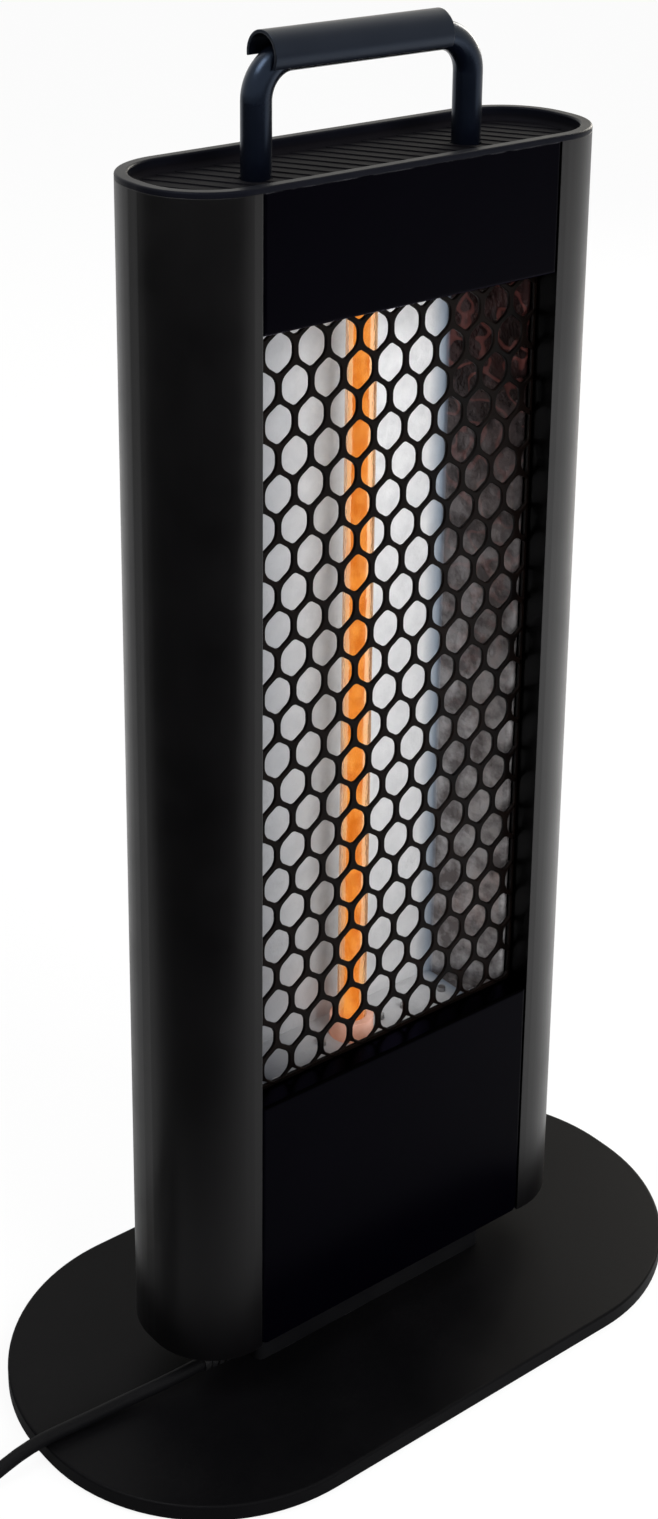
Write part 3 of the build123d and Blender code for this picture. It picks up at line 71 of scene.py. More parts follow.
# Power cord: a round flex in a matt black jacket, 1.7 m long. It leaves the stand at the
# left, drops over the plate's edge and lies wound in two layers beside the heater.
cord_diameter = 0.0064
relief_tip = Vector((-0.096, -0.010, 0.0157))
coil_x = -0.242
coil_entry_y = -0.001
coil_lead = 0.0064
on_table_z = 0.00325
coil_radius = 0.048
coil_turn_pitch = 0.007
coil_layer_rise = 0.007
inward_halves = 6
points_in_half_turn = 8
cord_points = [
    tuple(relief_tip),
    (-0.113, -0.010, 0.0157),
    (-0.132, -0.0064, 0.0134),
    (-0.158, -0.0044, 0.01275),
    (-0.186, -0.0022, 0.01275),
    (-0.211, coil_entry_y, on_table_z),
    (coil_x + coil_lead, coil_entry_y, on_table_z),
]

turn_y = coil_entry_y
turn_z = on_table_z
for half_turn in range(2 * inward_halves + 1):
    steps_in = inward_halves - abs(half_turn - inward_halves)
    radius = coil_radius - steps_in * coil_turn_pitch / 2
    reach = radius / math.cos(math.pi / points_in_half_turn / 2)
    rise = coil_layer_rise if half_turn == inward_halves else 0
    outward = -1 if half_turn % 2 == 0 else 1
    for step in range(points_in_half_turn):
        angle = math.pi * (step + 0.5) / points_in_half_turn
        cord_points.append((
            coil_x + outward * reach * math.sin(angle),
            turn_y - outward * (radius - reach * math.cos(angle)),
            turn_z + rise * (step + 0.5) / points_in_half_turn,
        ))
    turn_y -= outward * 2 * radius
    turn_z += rise
cord_points.append((coil_x + coil_lead, turn_y, turn_z))

cord_curve = bpy.data.curves.new("power_flex", "CURVE")
cord_curve.dimensions = "3D"
cord_curve.bevel_depth = cord_diameter / 2
cord_curve.bevel_resolution = 4
cord_curve.resolution_u = 4
cord_curve.use_fill_caps = True
cord_line = cord_curve.splines.new("NURBS")
cord_line.points.add(len(cord_points) - 1)
for point, place in zip(cord_line.points, cord_points):
    point.co = (*place, 1)
cord_line.order_u = 3
cord_line.use_endpoint_u = True
power_flex = bpy.data.objects.new("power_flex", cord_curve)
bpy.context.scene.collection.objects.link(power_flex)


def new_material(name):
    """An empty material and what its nodes are made with."""
    material = bpy.data.materials.new(name)
    material.use_nodes = True
    tree = material.node_tree
    return material, tree.nodes, tree.links, tree.nodes["Principled BSDF"]


def new_group(name, inputs, outputs):
    """A shader node group with number inputs, each with its usual value, and typed outputs."""
    tree = bpy.data.node_groups.new(name, "ShaderNodeTree")
    for label, value in inputs.items():
        socket = tree.interface.new_socket(label, in_out="INPUT", socket_type="NodeSocketFloat")
        socket.default_value = value
    for label, kind in outputs.items():
        tree.interface.new_socket(label, in_out="OUTPUT", socket_type=kind)
    return tree, tree.nodes.new("NodeGroupInput"), tree.nodes.new("NodeGroupOutput")


def noise_of(nodes, links, coordinate, scale, detail=2, roughness=0.5):
    """A noise texture on a coordinate."""
    noise = nodes.new("ShaderNodeTexNoise")
    noise.inputs["Detail"].default_value = detail
    noise.inputs["Roughness"].default_value = roughness
    links.new(coordinate, noise.inputs["Vector"])
    if isinstance(scale, (int, float)):
        noise.inputs["Scale"].default_value = scale
    else:
        links.new(scale, noise.inputs["Scale"])
    return noise.outputs["Fac"]


def spread(nodes, links, value, low, high, to_low, to_high):
    """A value's range stretched to another one, held at both ends."""
    node = nodes.new("ShaderNodeMapRange")
    node.inputs["From Min"].default_value = low
    node.inputs["From Max"].default_value = high
    node.inputs["To Min"].default_value = to_low
    node.inputs["To Max"].default_value = to_high
    links.new(value, node.inputs["Value"])
    return node.outputs["Result"]


def blended(nodes, links, mask, first, second):
    """A colour that goes from the first to the second as the mask goes from 0 to 1."""
    mix = nodes.new("ShaderNodeMix")
    mix.data_type = "RGBA"
    links.new(mask, mix.inputs["Factor"])
    for socket, colour in ((mix.inputs[6], first), (mix.inputs[7], second)):
        if isinstance(colour, tuple):
            socket.default_value = (*colour, 1)
        else:
            links.new(colour, socket)
    return mix.outputs[2]


def worked(nodes, links, operation, first, second):
    """The result of one sum on two values."""
    node = nodes.new("ShaderNodeMath")
    node.operation = operation
    for socket, value in zip(node.inputs, (first, second)):
        if isinstance(value, (int, float)):
            socket.default_value = value
        else:
            links.new(value, socket)
    return node.outputs["Value"]


def dented(nodes, links, height, distance, strength=1.0, over=None):
    """A bump normal from a height, over another normal if there is one."""
    bump = nodes.new("ShaderNodeBump")
    bump.inputs["Distance"].default_value = distance
    bump.inputs["Strength"].default_value = strength
    links.new(height, bump.inputs["Height"])
    if over is not None:
        links.new(over, bump.inputs["Normal"])
    return bump.outputs["Normal"]


def make_grain_group():
    """Fine grain and broad mottle of a moulded or sprayed surface."""
    tree, group_in, group_out = new_group(
        "surface_grain",
        {"Grain scale": 1500.0, "Mottle scale": 30.0},
        {"Grain": "NodeSocketFloat", "Mottle": "NodeSocketFloat"},
    )
    nodes, links = tree.nodes, tree.links
    place = nodes.new("ShaderNodeTexCoord").outputs["Object"]
    fine = noise_of(nodes, links, place, group_in.outputs["Grain scale"], 3, 0.6)
    broad = noise_of(nodes, links, place, group_in.outputs["Mottle scale"], 4, 0.6)
    links.new(fine, group_out.inputs["Grain"])
    links.new(spread(nodes, links, broad, 0.3, 0.7, 0, 1), group_out.inputs["Mottle"])
    return tree


def make_rub_and_highlight_group():
    """A mask along a piece's edges, for rubbed wear and, on some pieces, a painted highlight line,
    and a normal that rounds its sharp edges off.
    """
    tree, group_in, group_out = new_group(
        "rubbed_and_highlit_edges",
        {"Radius": 0.0006, "Patch scale": 90.0},
        {"Rub and highlight": "NodeSocketFloat", "Normal": "NodeSocketVector"},
    )
    nodes, links = tree.nodes, tree.links
    rounded = nodes.new("ShaderNodeBevel")
    rounded.samples = 4
    links.new(group_in.outputs["Radius"], rounded.inputs["Radius"])
    true_normal = nodes.new("ShaderNodeNewGeometry").outputs["Normal"]
    turn = nodes.new("ShaderNodeVectorMath")
    turn.operation = "DOT_PRODUCT"
    links.new(rounded.outputs["Normal"], turn.inputs[0])
    links.new(true_normal, turn.inputs[1])
    edge = spread(nodes, links, turn.outputs["Value"], 0.985, 0.8, 0, 1)
    place = nodes.new("ShaderNodeTexCoord").outputs["Object"]
    patch = noise_of(nodes, links, place, group_in.outputs["Patch scale"], 5, 0.65)
    worn = spread(nodes, links, patch, 0.42, 0.62, 0, 1)
    links.new(worked(nodes, links, "MULTIPLY", edge, worn), group_out.inputs["Rub and highlight"])
    links.new(rounded.outputs["Normal"], group_out.inputs["Normal"])
    return tree


def make_dust_group():
    """Thin dust that lies on what faces up."""
    tree, group_in, group_out = new_group(
        "settled_dust", {"Amount": 0.1}, {"Dust": "NodeSocketFloat"}
    )
    nodes, links = tree.nodes, tree.links
    split = nodes.new("ShaderNodeSeparateXYZ")
    links.new(nodes.new("ShaderNodeNewGeometry").outputs["Normal"], split.inputs["Vector"])
    facing_up = spread(nodes, links, split.outputs["Z"], 0.3, 1.0, 0, 1)
    place = nodes.new("ShaderNodeTexCoord").outputs["Object"]
    specks = noise_of(nodes, links, place, 900.0, 4, 0.7)
    drift = noise_of(nodes, links, place, 14.0, 3, 0.6)
    lying = worked(
        nodes,
        links,
        "MULTIPLY",
        spread(nodes, links, specks, 0.5, 0.72, 0.15, 1),
        spread(nodes, links, drift, 0.35, 0.65, 0.2, 1),
    )
    lying = worked(nodes, links, "MULTIPLY", lying, facing_up)
    lying = worked(nodes, links, "MULTIPLY", lying, group_in.outputs["Amount"])
    links.new(lying, group_out.inputs["Dust"])
    return tree


grain_group = make_grain_group()
rub_and_highlight_group = make_rub_and_highlight_group()
dust_group = make_dust_group()
dust_colour = (0.20, 0.19, 0.175)


def placed_group(nodes, tree, **values):
    """A group placed in a material with its own values."""
    node = nodes.new("ShaderNodeGroup")
    node.node_tree = tree
    for label, value in values.items():
        node.inputs[label.replace("_", " ")].default_value = value
    return node


def finish(
    name,
    colour,
    second_colour,
    rough=0.4,
    shine=0.5,
    metal=0.0,
    grain=1500.0,
    depth=0.00003,
    mottle=30.0,
    rub_and_highlight=0.3,
    rub_and_highlight_colour=(0.10, 0.10, 0.105),
    edge=0.0006,
    dust=0.08,
    coat=0.0,
    sheen=0.0,
    tint=(1, 1, 1),
):
    """A surface with its own grain, mottle, rubbed edges, which on the covers are a painted
    highlight line, and dust.
    """
    material, nodes, links, shader = new_material(name)
    texture = placed_group(nodes, grain_group, Grain_scale=grain, Mottle_scale=mottle)
    wear_and_highlight = placed_group(nodes, rub_and_highlight_group, Radius=edge)
    settled = placed_group(nodes, dust_group, Amount=dust)
    base = blended(nodes, links, texture.outputs["Mottle"], colour, second_colour)
    rubbed_and_highlit = worked(nodes, links, "MULTIPLY", wear_and_highlight.outputs["Rub and highlight"], rub_and_highlight)
    base = blended(nodes, links, rubbed_and_highlit, base, rub_and_highlight_colour)
    base = blended(nodes, links, settled.outputs["Dust"], base, dust_colour)
    links.new(base, shader.inputs["Base Color"])
    uneven = spread(nodes, links, texture.outputs["Mottle"], 0, 1, rough * 0.9, rough * 1.12)
    uneven = worked(nodes, links, "ADD", uneven, settled.outputs["Dust"])
    links.new(uneven, shader.inputs["Roughness"])
    surface = dented(nodes, links, texture.outputs["Grain"], depth, over=wear_and_highlight.outputs["Normal"])
    links.new(surface, shader.inputs["Normal"])
    shader.inputs["Metallic"].default_value = metal
    shader.inputs["Specular IOR Level"].default_value = shine
    shader.inputs["Specular Tint"].default_value = (*tint, 1)
    shader.inputs["Coat Weight"].default_value = coat
    shader.inputs["Coat Roughness"].default_value = 0.12
    shader.inputs["Sheen Weight"].default_value = sheen
    return material


def dress(material, *names):
    """Give CAD nodes their material."""
    for name in names:
        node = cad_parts[name]
        for socket in node.material_slots:
            socket.material = material


jacket = finish(
    "flex_jacket",
    (0.0018, 0.0018, 0.0022),
    (0.0032, 0.0032, 0.0036),
    rough=0.55,
    shine=0.08,
    grain=900.0,
    depth=0.00006,
    rub_and_highlight=0.0,
    dust=0.02,
)
cord_curve.materials.append(jacket)
dress(jacket, "power_cord", "cord_coil", "inlet_cable")
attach(power_flex, "heater")
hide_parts("power_cord", "cord_coil")

# Strain relief: a soft moulding that grips the flex where it leaves the stand. Its ribs
# thin toward the tip, so that it bends in a curve.
relief_sides = 40
relief_inner_x = -0.0700
relief_flange_x = -0.0716
relief_bore = 0.0032
relief_flange = 0.0060
relief_root = 0.0051
relief_tip_radius = 0.0038
relief_ribs = 6
relief_chamfer = 0.0004
relief_shank = 0.0012
relief_skin = 0.0002
rib_gap_share = 0.34
rib_depth = 0.0009
rib_draft = 0.0001
weld_reach = 0.00001

relief_section = [(relief_inner_x, relief_bore), (relief_inner_x, relief_flange)]
relief_section += [(relief_flange_x, relief_flange), (relief_flange_x - relief_chamfer, relief_root)]
first_rib_x = relief_flange_x - relief_shank
relief_pitch = (first_rib_x - relief_tip.x) / relief_ribs
for rib in range(relief_ribs):
    rib_start = first_rib_x - rib * relief_pitch
    along = rib / relief_ribs
    skin = relief_root + (relief_tip_radius - relief_root) * along
    slot_floor = max(skin - rib_depth, relief_bore + relief_skin)
    relief_section += [
        (rib_start, skin),
        (rib_start - rib_draft, slot_floor),
        (rib_start - rib_gap_share * relief_pitch, slot_floor),
        (rib_start - rib_gap_share * relief_pitch - rib_draft, skin),
    ]
relief_section += [(relief_tip.x, relief_tip_radius), (relief_tip.x, relief_bore)]


def make_piece(name, mesh_data, material, body):
    """A new piece: its object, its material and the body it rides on."""
    mesh = bpy.data.meshes.new(name)
    bmesh.ops.recalc_face_normals(mesh_data, faces=mesh_data.faces)
    mesh_data.to_mesh(mesh)
    mesh_data.free()
    piece = bpy.data.objects.new(name, mesh)
    bpy.context.scene.collection.objects.link(piece)
    mesh.materials.append(material)
    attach(piece, body)
    return piece


relief_shape = bmesh.new()
relief_corners = [
    relief_shape.verts.new((x, relief_tip.y, relief_tip.z + height)) for x, height in relief_section
]
for first, second in zip(relief_corners, relief_corners[1:] + relief_corners[:1]):
    relief_shape.edges.new((first, second))
bmesh.ops.spin(
    relief_shape,
    geom=relief_shape.verts[:] + relief_shape.edges[:],
    cent=relief_tip,
    axis=(1, 0, 0),
    angle=2 * math.pi,
    steps=relief_sides,
    use_merge=True,
)
bmesh.ops.remove_doubles(relief_shape, verts=relief_shape.verts, dist=weld_reach)
cord_moulding = finish(
    "cord_moulding",
    (0.0040, 0.0040, 0.0045),
    (0.0070, 0.0070, 0.0075),
    rough=0.55,
    shine=0.16,
    grain=1400.0,
    depth=0.00005,
    rub_and_highlight=0.2,
    rub_and_highlight_colour=(0.05, 0.05, 0.052),
    dust=0.12,
)
relief_boot = make_piece("relief_boot", relief_shape, cord_moulding, "heater")
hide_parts("strain_relief")

# Plug: a body moulded onto the flex's end in the same plastic as the relief, with two
# nickel-plated blades and an earth pin. It lies beside the wound flex.
dress(cord_moulding, "plug_body")
nickel = finish(
    "nickel_plate",
    (0.62, 0.60, 0.56),
    (0.70, 0.68, 0.64),
    rough=0.22,
    metal=1.0,
    grain=2600.0,
    depth=0.00001,
    rub_and_highlight=0.25,
    rub_and_highlight_colour=(0.75, 0.60, 0.36),
    dust=0.0,
)
dress(nickel, "plug_blades")

# Base plate: a pressed steel pan with rolled edges, sprayed satin charcoal. It hides the
# ballast plate, and stands on six rubber feet.
base_paint = finish(
    "base_paint",
    (0.0015, 0.0015, 0.0018),
    (0.0024, 0.0023, 0.0027),
    rough=0.40,
    shine=0.05,
    grain=1900.0,
    depth=0.00002,
    mottle=22.0,
    rub_and_highlight=0.25,
    rub_and_highlight_colour=(0.030, 0.033, 0.037),
    dust=0.012,
)
dress(base_paint, "base_cover")
ballast_steel = finish(
    "ballast_steel",
    (0.20, 0.195, 0.19),
    (0.30, 0.28, 0.26),
    rough=0.5,
    metal=1.0,
    grain=500.0,
    depth=0.0001,
    rub_and_highlight_colour=(0.5, 0.48, 0.45),
)
dress(ballast_steel, "base_ballast")
foot_rubber = finish(
    "foot_rubber",
    (0.014, 0.014, 0.014),
    (0.022, 0.021, 0.020),
    rough=0.75,
    shine=0.25,
    grain=700.0,
    depth=0.00008,
    rub_and_highlight=0.0,
)
dress(foot_rubber, "base_feet")

# Stand: a block sprayed satin black between the plate and the casing, held by four long
# bolts that come up through the ballast. It lies in the casing's shade.
stand_paint = finish(
    "stand_paint",
    (0.0025, 0.0025, 0.0030),
    (0.0040, 0.0040, 0.0045),
    rough=0.5,
    shine=0.10,
    depth=0.00004,
)
dress(stand_paint, "stand_block")
screw_steel = finish(
    "screw_steel",
    (0.34, 0.34, 0.345),
    (0.46, 0.455, 0.45),
    rough=0.3,
    metal=1.0,
    grain=2400.0,
    depth=0.00002,
    rub_and_highlight_colour=(0.75, 0.74, 0.72),
    dust=0.03,
)
dress(screw_steel, "stand_bolts")

# Side profiles: closed half-round aluminium extrusions, sprayed black. The die leaves faint
# upright lines, which the paint softens.
def drawn_finish(name, colour, second_colour, rough, shine, line_scale, line_depth, rub_and_highlight, dust):
    """A sprayed extrusion: fine grain over faint lines along its length."""
    material = finish(
        name,
        colour,
        second_colour,
        rough=rough,
        shine=shine,
        grain=2100.0,
        depth=0.000015,
        rub_and_highlight=rub_and_highlight,
        dust=dust,
    )
    nodes, links = material.node_tree.nodes, material.node_tree.links
    shader = nodes["Principled BSDF"]
    stretched = nodes.new("ShaderNodeMapping")
    stretched.inputs["Scale"].default_value = (1, 1, 0.006)
    links.new(nodes.new("ShaderNodeTexCoord").outputs["Object"], stretched.inputs["Vector"])
    lines = noise_of(nodes, links, stretched.outputs["Vector"], line_scale, 2, 0.5)
    under = shader.inputs["Normal"].links[0].from_socket
    links.new(dented(nodes, links, lines, line_depth, over=under), shader.inputs["Normal"])
    return material


casing_paint = drawn_finish(
    "casing_paint",
    (0.0004, 0.0003, 0.0005),
    (0.0008, 0.0006, 0.0009),
    rough=0.33,
    shine=0.42,
    line_scale=420.0,
    line_depth=0.00003,
    rub_and_highlight=0.15,
    dust=0.01,
)
painted_window_shade = (0.0008, 0.0007, 0.0008)


def paint_shade_toward_window(material, axis, middle, start, full):
    """The faces that look into the window are painted into shade: their colour goes to near-black
    and they turn metallic, so that they hardly mirror it.
    """
    nodes, links = material.node_tree.nodes, material.node_tree.links
    shader = nodes["Principled BSDF"]
    spot = nodes.new("ShaderNodeTexCoord")
    place = nodes.new("ShaderNodeSeparateXYZ")
    facing = nodes.new("ShaderNodeSeparateXYZ")
    links.new(spot.outputs["Object"], place.inputs["Vector"])
    links.new(spot.outputs["Normal"], facing.inputs["Vector"])
    from_middle = worked(nodes, links, "SUBTRACT", place.outputs[axis], middle)
    inward = worked(nodes, links, "MULTIPLY", from_middle, facing.outputs[axis])
    painted_shade = spread(nodes, links, inward, start, full, 0, 1)
    sprayed = shader.inputs["Base Color"].links[0].from_socket
    links.new(blended(nodes, links, painted_shade, sprayed, painted_window_shade), shader.inputs["Base Color"])
    links.new(painted_shade, shader.inputs["Metallic"])


# The profiles' faces that look into the window are painted into shade.
paint_shade_toward_window(casing_paint, "X", 0, -0.02, -0.04)
dress(casing_paint, "side_profile_left", "side_profile_right")
black_screw = finish(
    "blackened_screw",
    (0.016, 0.016, 0.018),
    (0.026, 0.025, 0.026),
    rough=0.36,
    shine=0.4,
    grain=2400.0,
    depth=0.00002,
    rub_and_highlight=0.5,
    rub_and_highlight_colour=(0.22, 0.22, 0.22),
    dust=0.03,
)
dress(black_screw, "end_screws")
dress(screw_steel, "side_screws")

# Front and rear covers: folded steel sheets, sprayed a smooth blue-black. The front two are
# screwed on from inside, so that no fixing shows, and the rear one is screwed on from behind.
# The covers' rubbed edges are a painted highlight: a thin lighter line along the sheets' edges.
cover_paint = finish(
    "cover_paint",
    (0.0002, 0.00015, 0.0007),
    (0.0004, 0.0003, 0.0010),
    rough=0.24,
    shine=0.022,
    grain=2600.0,
    depth=0.00001,
    mottle=16.0,
    rub_and_highlight=1.0,
    rub_and_highlight_colour=(0.050, 0.050, 0.056),
    edge=0.0009,
    dust=0.02,
    tint=(0.62, 0.60, 0.72),
)
sheet_low, sheet_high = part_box("front_grille")
window_middle_z = (sheet_low.z + sheet_high.z) / 2
# The covers' faces that look into the window, the folds above and below it, are painted into shade.
paint_shade_toward_window(cover_paint, "Z", window_middle_z, -0.05, -0.10)
dress(cover_paint, "front_cover_upper", "front_cover_lower", "rear_cover")
dress(screw_steel, "cover_screws")
dress(black_screw, "rear_screws")

# Caps: the top cap is a tray with a rolled rim and slanting ribs on its floor, sprayed satin
# black, and the bottom cap closes the casing over the stand.
cap_paint = finish(
    "cap_paint",
    (0.0022, 0.0024, 0.0040),
    (0.0034, 0.0035, 0.0054),
    rough=0.34,
    shine=0.08,
    grain=1800.0,
    depth=0.00002,
    rub_and_highlight=0.25,
    rub_and_highlight_colour=(0.018, 0.020, 0.025),
    dust=0.015,
    tint=(0.42, 0.48, 0.60),
)
rim_foot_z = 0.5800
rim_shoulder_z = 0.5825
tray_colour = (0.0030, 0.0026, 0.0034)
tray_dullness = 0.34


def deepen_tray(material):
    """The tray's floor takes a thinner spray, duller and browner than the rim."""
    nodes, links = material.node_tree.nodes, material.node_tree.links
    shader = nodes["Principled BSDF"]
    split = nodes.new("ShaderNodeSeparateXYZ")
    links.new(nodes.new("ShaderNodeTexCoord").outputs["Object"], split.inputs["Vector"])
    down = spread(nodes, links, split.outputs["Z"], rim_foot_z, rim_shoulder_z, 1, 0)
    rim_colour = shader.inputs["Base Color"].links[0].from_socket
    rim_rough = shader.inputs["Roughness"].links[0].from_socket
    links.new(blended(nodes, links, down, rim_colour, tray_colour), shader.inputs["Base Color"])
    duller = worked(nodes, links, "MULTIPLY", down, tray_dullness)
    links.new(worked(nodes, links, "ADD", rim_rough, duller), shader.inputs["Roughness"])


deepen_tray(cap_paint)
dress(cap_paint, "top_cap", "bottom_cap")
dress(screw_steel, "cap_screws")

# Handle: a bent round bar, with a plastic grip that is open below and clips over it. Its
# legs pass through the cap to a bracket, and nuts and washers hold them.
handle_paint = finish(
    "handle_paint",
    (0.0008, 0.0012, 0.0028),
    (0.0014, 0.0019, 0.0042),
    rough=0.25,
    shine=0.50,
    grain=2000.0,
    depth=0.000015,
    rub_and_highlight=0.3,
    rub_and_highlight_colour=(0.06, 0.065, 0.075),
    dust=0.01,
    tint=(0.50, 0.68, 1.0),
)
dress(handle_paint, "handle_bar")
dress(screw_steel, "handle_washers", "handle_nuts")
grip_plastic = finish(
    "grip_plastic",
    (0.0018, 0.0023, 0.0044),
    (0.0028, 0.0034, 0.0060),
    rough=0.30,
    shine=0.36,
    grain=1500.0,
    depth=0.00003,
    mottle=40.0,
    rub_and_highlight=0.35,
    rub_and_highlight_colour=(0.04, 0.045, 0.055),
    dust=0.015,
    tint=(0.55, 0.72, 1.0),
)
dress(grip_plastic, "handle_grip")

# Grille: one punched steel sheet with long hexagonal cells in staggered rows, sprayed black.
# The heat has browned it in patches.
grille_paint = finish(
    "grille_paint",
    (0.0008, 0.0006, 0.0006),
    (0.0030, 0.0016, 0.0012),
    rough=0.42,
    shine=0.06,
    grain=2200.0,
    depth=0.00002,
    mottle=60.0,
    rub_and_highlight=0.25,
    rub_and_highlight_colour=(0.030, 0.015, 0.010),
    edge=0.0005,
    dust=0.005,
)
cell_pitch = 0.0170
row_pitch = 0.01536
strand = 0.0028
tip_slope = 0.70
tip_cut = 0.0016
side_cut = 0.0028
strand_edge = 0.00035
first_row_z = 0.5107
cell_phase = 0.0055
open_rows = 23
joint_reach = 0.00002
flush = 0.00001
sharp_turn = 1.0
border_width = 0.0012


def add_hexagon(shape, half_width, half_side, tip):
    """A ring of six edges that stands on its tip, in the sheet's front plane."""
    corners = bmesh.ops.create_circle(shape, segments=6, radius=1)["verts"]
    tips = [v for v in corners if abs(v.co.y) > 0.9]
    widen = half_width / math.sin(math.radians(60))
    bmesh.ops.scale(shape, verts=corners, vec=(widen, 2 * half_side, 1))
    bmesh.ops.scale(shape, verts=tips, vec=(1, tip / (2 * half_side), 1))
    bmesh.ops.rotate(shape, verts=corners, matrix=Matrix.Rotation(math.radians(90), 3, "X"))
    bmesh.ops.translate(shape, verts=corners, vec=(0, sheet_low.y, 0))
    return tips, [v for v in corners if v not in tips]


def round_off(shape, corners, reach, steps):
    """Turn the corners of a ring into arcs that start this far from them."""
    bmesh.ops.bevel(
        shape,
        geom=corners,
        offset=reach,
        offset_type="OFFSET",
        segments=steps,
        profile=0.5,
        affect="VERTICES",
        material=-1,
    )


cell_shape = bmesh.new()
net_half_side = (row_pitch - tip_slope * cell_pitch / 2) / 2
add_hexagon(cell_shape, cell_pitch / 2, net_half_side, row_pitch - net_half_side)
hole_half_width = (cell_pitch - strand) / 2
hole_half_side = net_half_side - tip_slope * strand / 4
hole_tip = hole_half_side + tip_slope * hole_half_width
hole_tips, hole_sides = add_hexagon(cell_shape, hole_half_width, hole_half_side, hole_tip)
round_off(cell_shape, hole_tips, tip_cut, 3)
round_off(cell_shape, hole_sides, side_cut, 4)
bmesh.ops.bridge_loops(cell_shape, edges=cell_shape.edges[:])
open_cell = bpy.data.meshes.new("open_cell")
cell_shape.to_mesh(open_cell)
cell_shape.free()

net = bmesh.new()
columns = int(sheet_high.x / cell_pitch) + 1
for row in range(-1, open_rows):
    shift = cell_phase if row % 2 == 0 else cell_phase - cell_pitch / 2
    for column in range(-columns, columns + 1):
        held = len(net.verts)
        net.from_mesh(open_cell)
        net.verts.ensure_lookup_table()
        step = Vector((shift + column * cell_pitch, 0, first_row_z - row * row_pitch))
        bmesh.ops.translate(net, verts=net.verts[held:], vec=step)
bmesh.ops.remove_doubles(net, verts=net.verts, dist=joint_reach)
net_low = first_row_z - (open_rows - 1) * row_pitch - net_half_side
for side, edge_place in ((-1, sheet_low), (1, sheet_high)):
    for normal in (Vector((side, 0, 0)), Vector((0, 0, side))):
        bmesh.ops.bisect_plane(
            net,
            geom=net.verts[:] + net.edges[:] + net.faces[:],
            plane_co=edge_place,
            plane_no=normal,
            clear_outer=True,
        )
thick = bmesh.ops.extrude_face_region(net, geom=net.faces[:], use_keep_orig=True)
bmesh.ops.translate(
    net,
    verts=[v for v in thick["geom"] if isinstance(v, bmesh.types.BMVert)],
    vec=(0, sheet_high.y - sheet_low.y, 0),
)
bmesh.ops.recalc_face_normals(net, faces=net.faces)
front_edges = [
    edge
    for edge in net.edges
    if all(abs(v.co.y - sheet_low.y) < flush for v in edge.verts)
    and len(edge.link_faces) == 2
    and edge.calc_face_angle(0) > sharp_turn
]
bmesh.ops.bevel(
    net,
    geom=front_edges,
    offset=strand_edge,
    segments=1,
    profile=0.5,
    affect="EDGES",
    material=-1,
)


def add_strip(shape, low, high):
    """A plain strip of the sheet between two corners."""
    grown = bmesh.ops.create_cube(shape, size=1)
    span = high - low
    middle = (high + low) / 2
    bmesh.ops.scale(shape, verts=grown["verts"], vec=span)
    bmesh.ops.translate(shape, verts=grown["verts"], vec=middle)


for left_x in (sheet_low.x, sheet_high.x - border_width):
    add_strip(
        net,
        Vector((left_x, sheet_low.y, sheet_low.z)),
        Vector((left_x + border_width, sheet_high.y, sheet_high.z)),
    )
add_strip(net, sheet_low, Vector((sheet_high.x, sheet_high.y, net_low - strand)))
grille_net = make_piece("grille_net", net, grille_paint, "heater")
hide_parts("front_grille")

# Reflector: a bright aluminium sheet folded to a trough. It is thin, so that it is dimpled all over.
# Its colour is painted shade toward its left end and a bluish painted shade at the fold, and it
# darkens towards the bottom; its right wing is painted dark in shade, with a greyer painted
# reflection lower down and painted red glints of the glow.
wing_start_x = 0.0632
wing_top_z = 0.475
wing_foot_z = 0.26
wing_blend = 0.001
bright_from_x, bright_to_x = -0.056, 0.0
cool_from_x, cool_to_x = 0.055, 0.064
low_from_z, low_to_z = 0.50, 0.18
sheet_shaded = (0.18, 0.19, 0.215)
sheet_bright = (0.97, 0.97, 0.98)
sheet_fold_shade = (0.20, 0.28, 0.38)
sheet_low_down = (0.06, 0.06, 0.065)
sheet_dimple = (0.30, 0.31, 0.34)
wing_painted_reflection, wing_painted_reflection_patch = (0.15, 0.137, 0.138), (0.44, 0.43, 0.435)
wing_painted_shade, wing_painted_shade_patch = (0.010, 0.005, 0.005), (0.032, 0.014, 0.014)
wing_painted_glint = (0.11, 0.034, 0.030)
wrinkle_depth = 0.0011


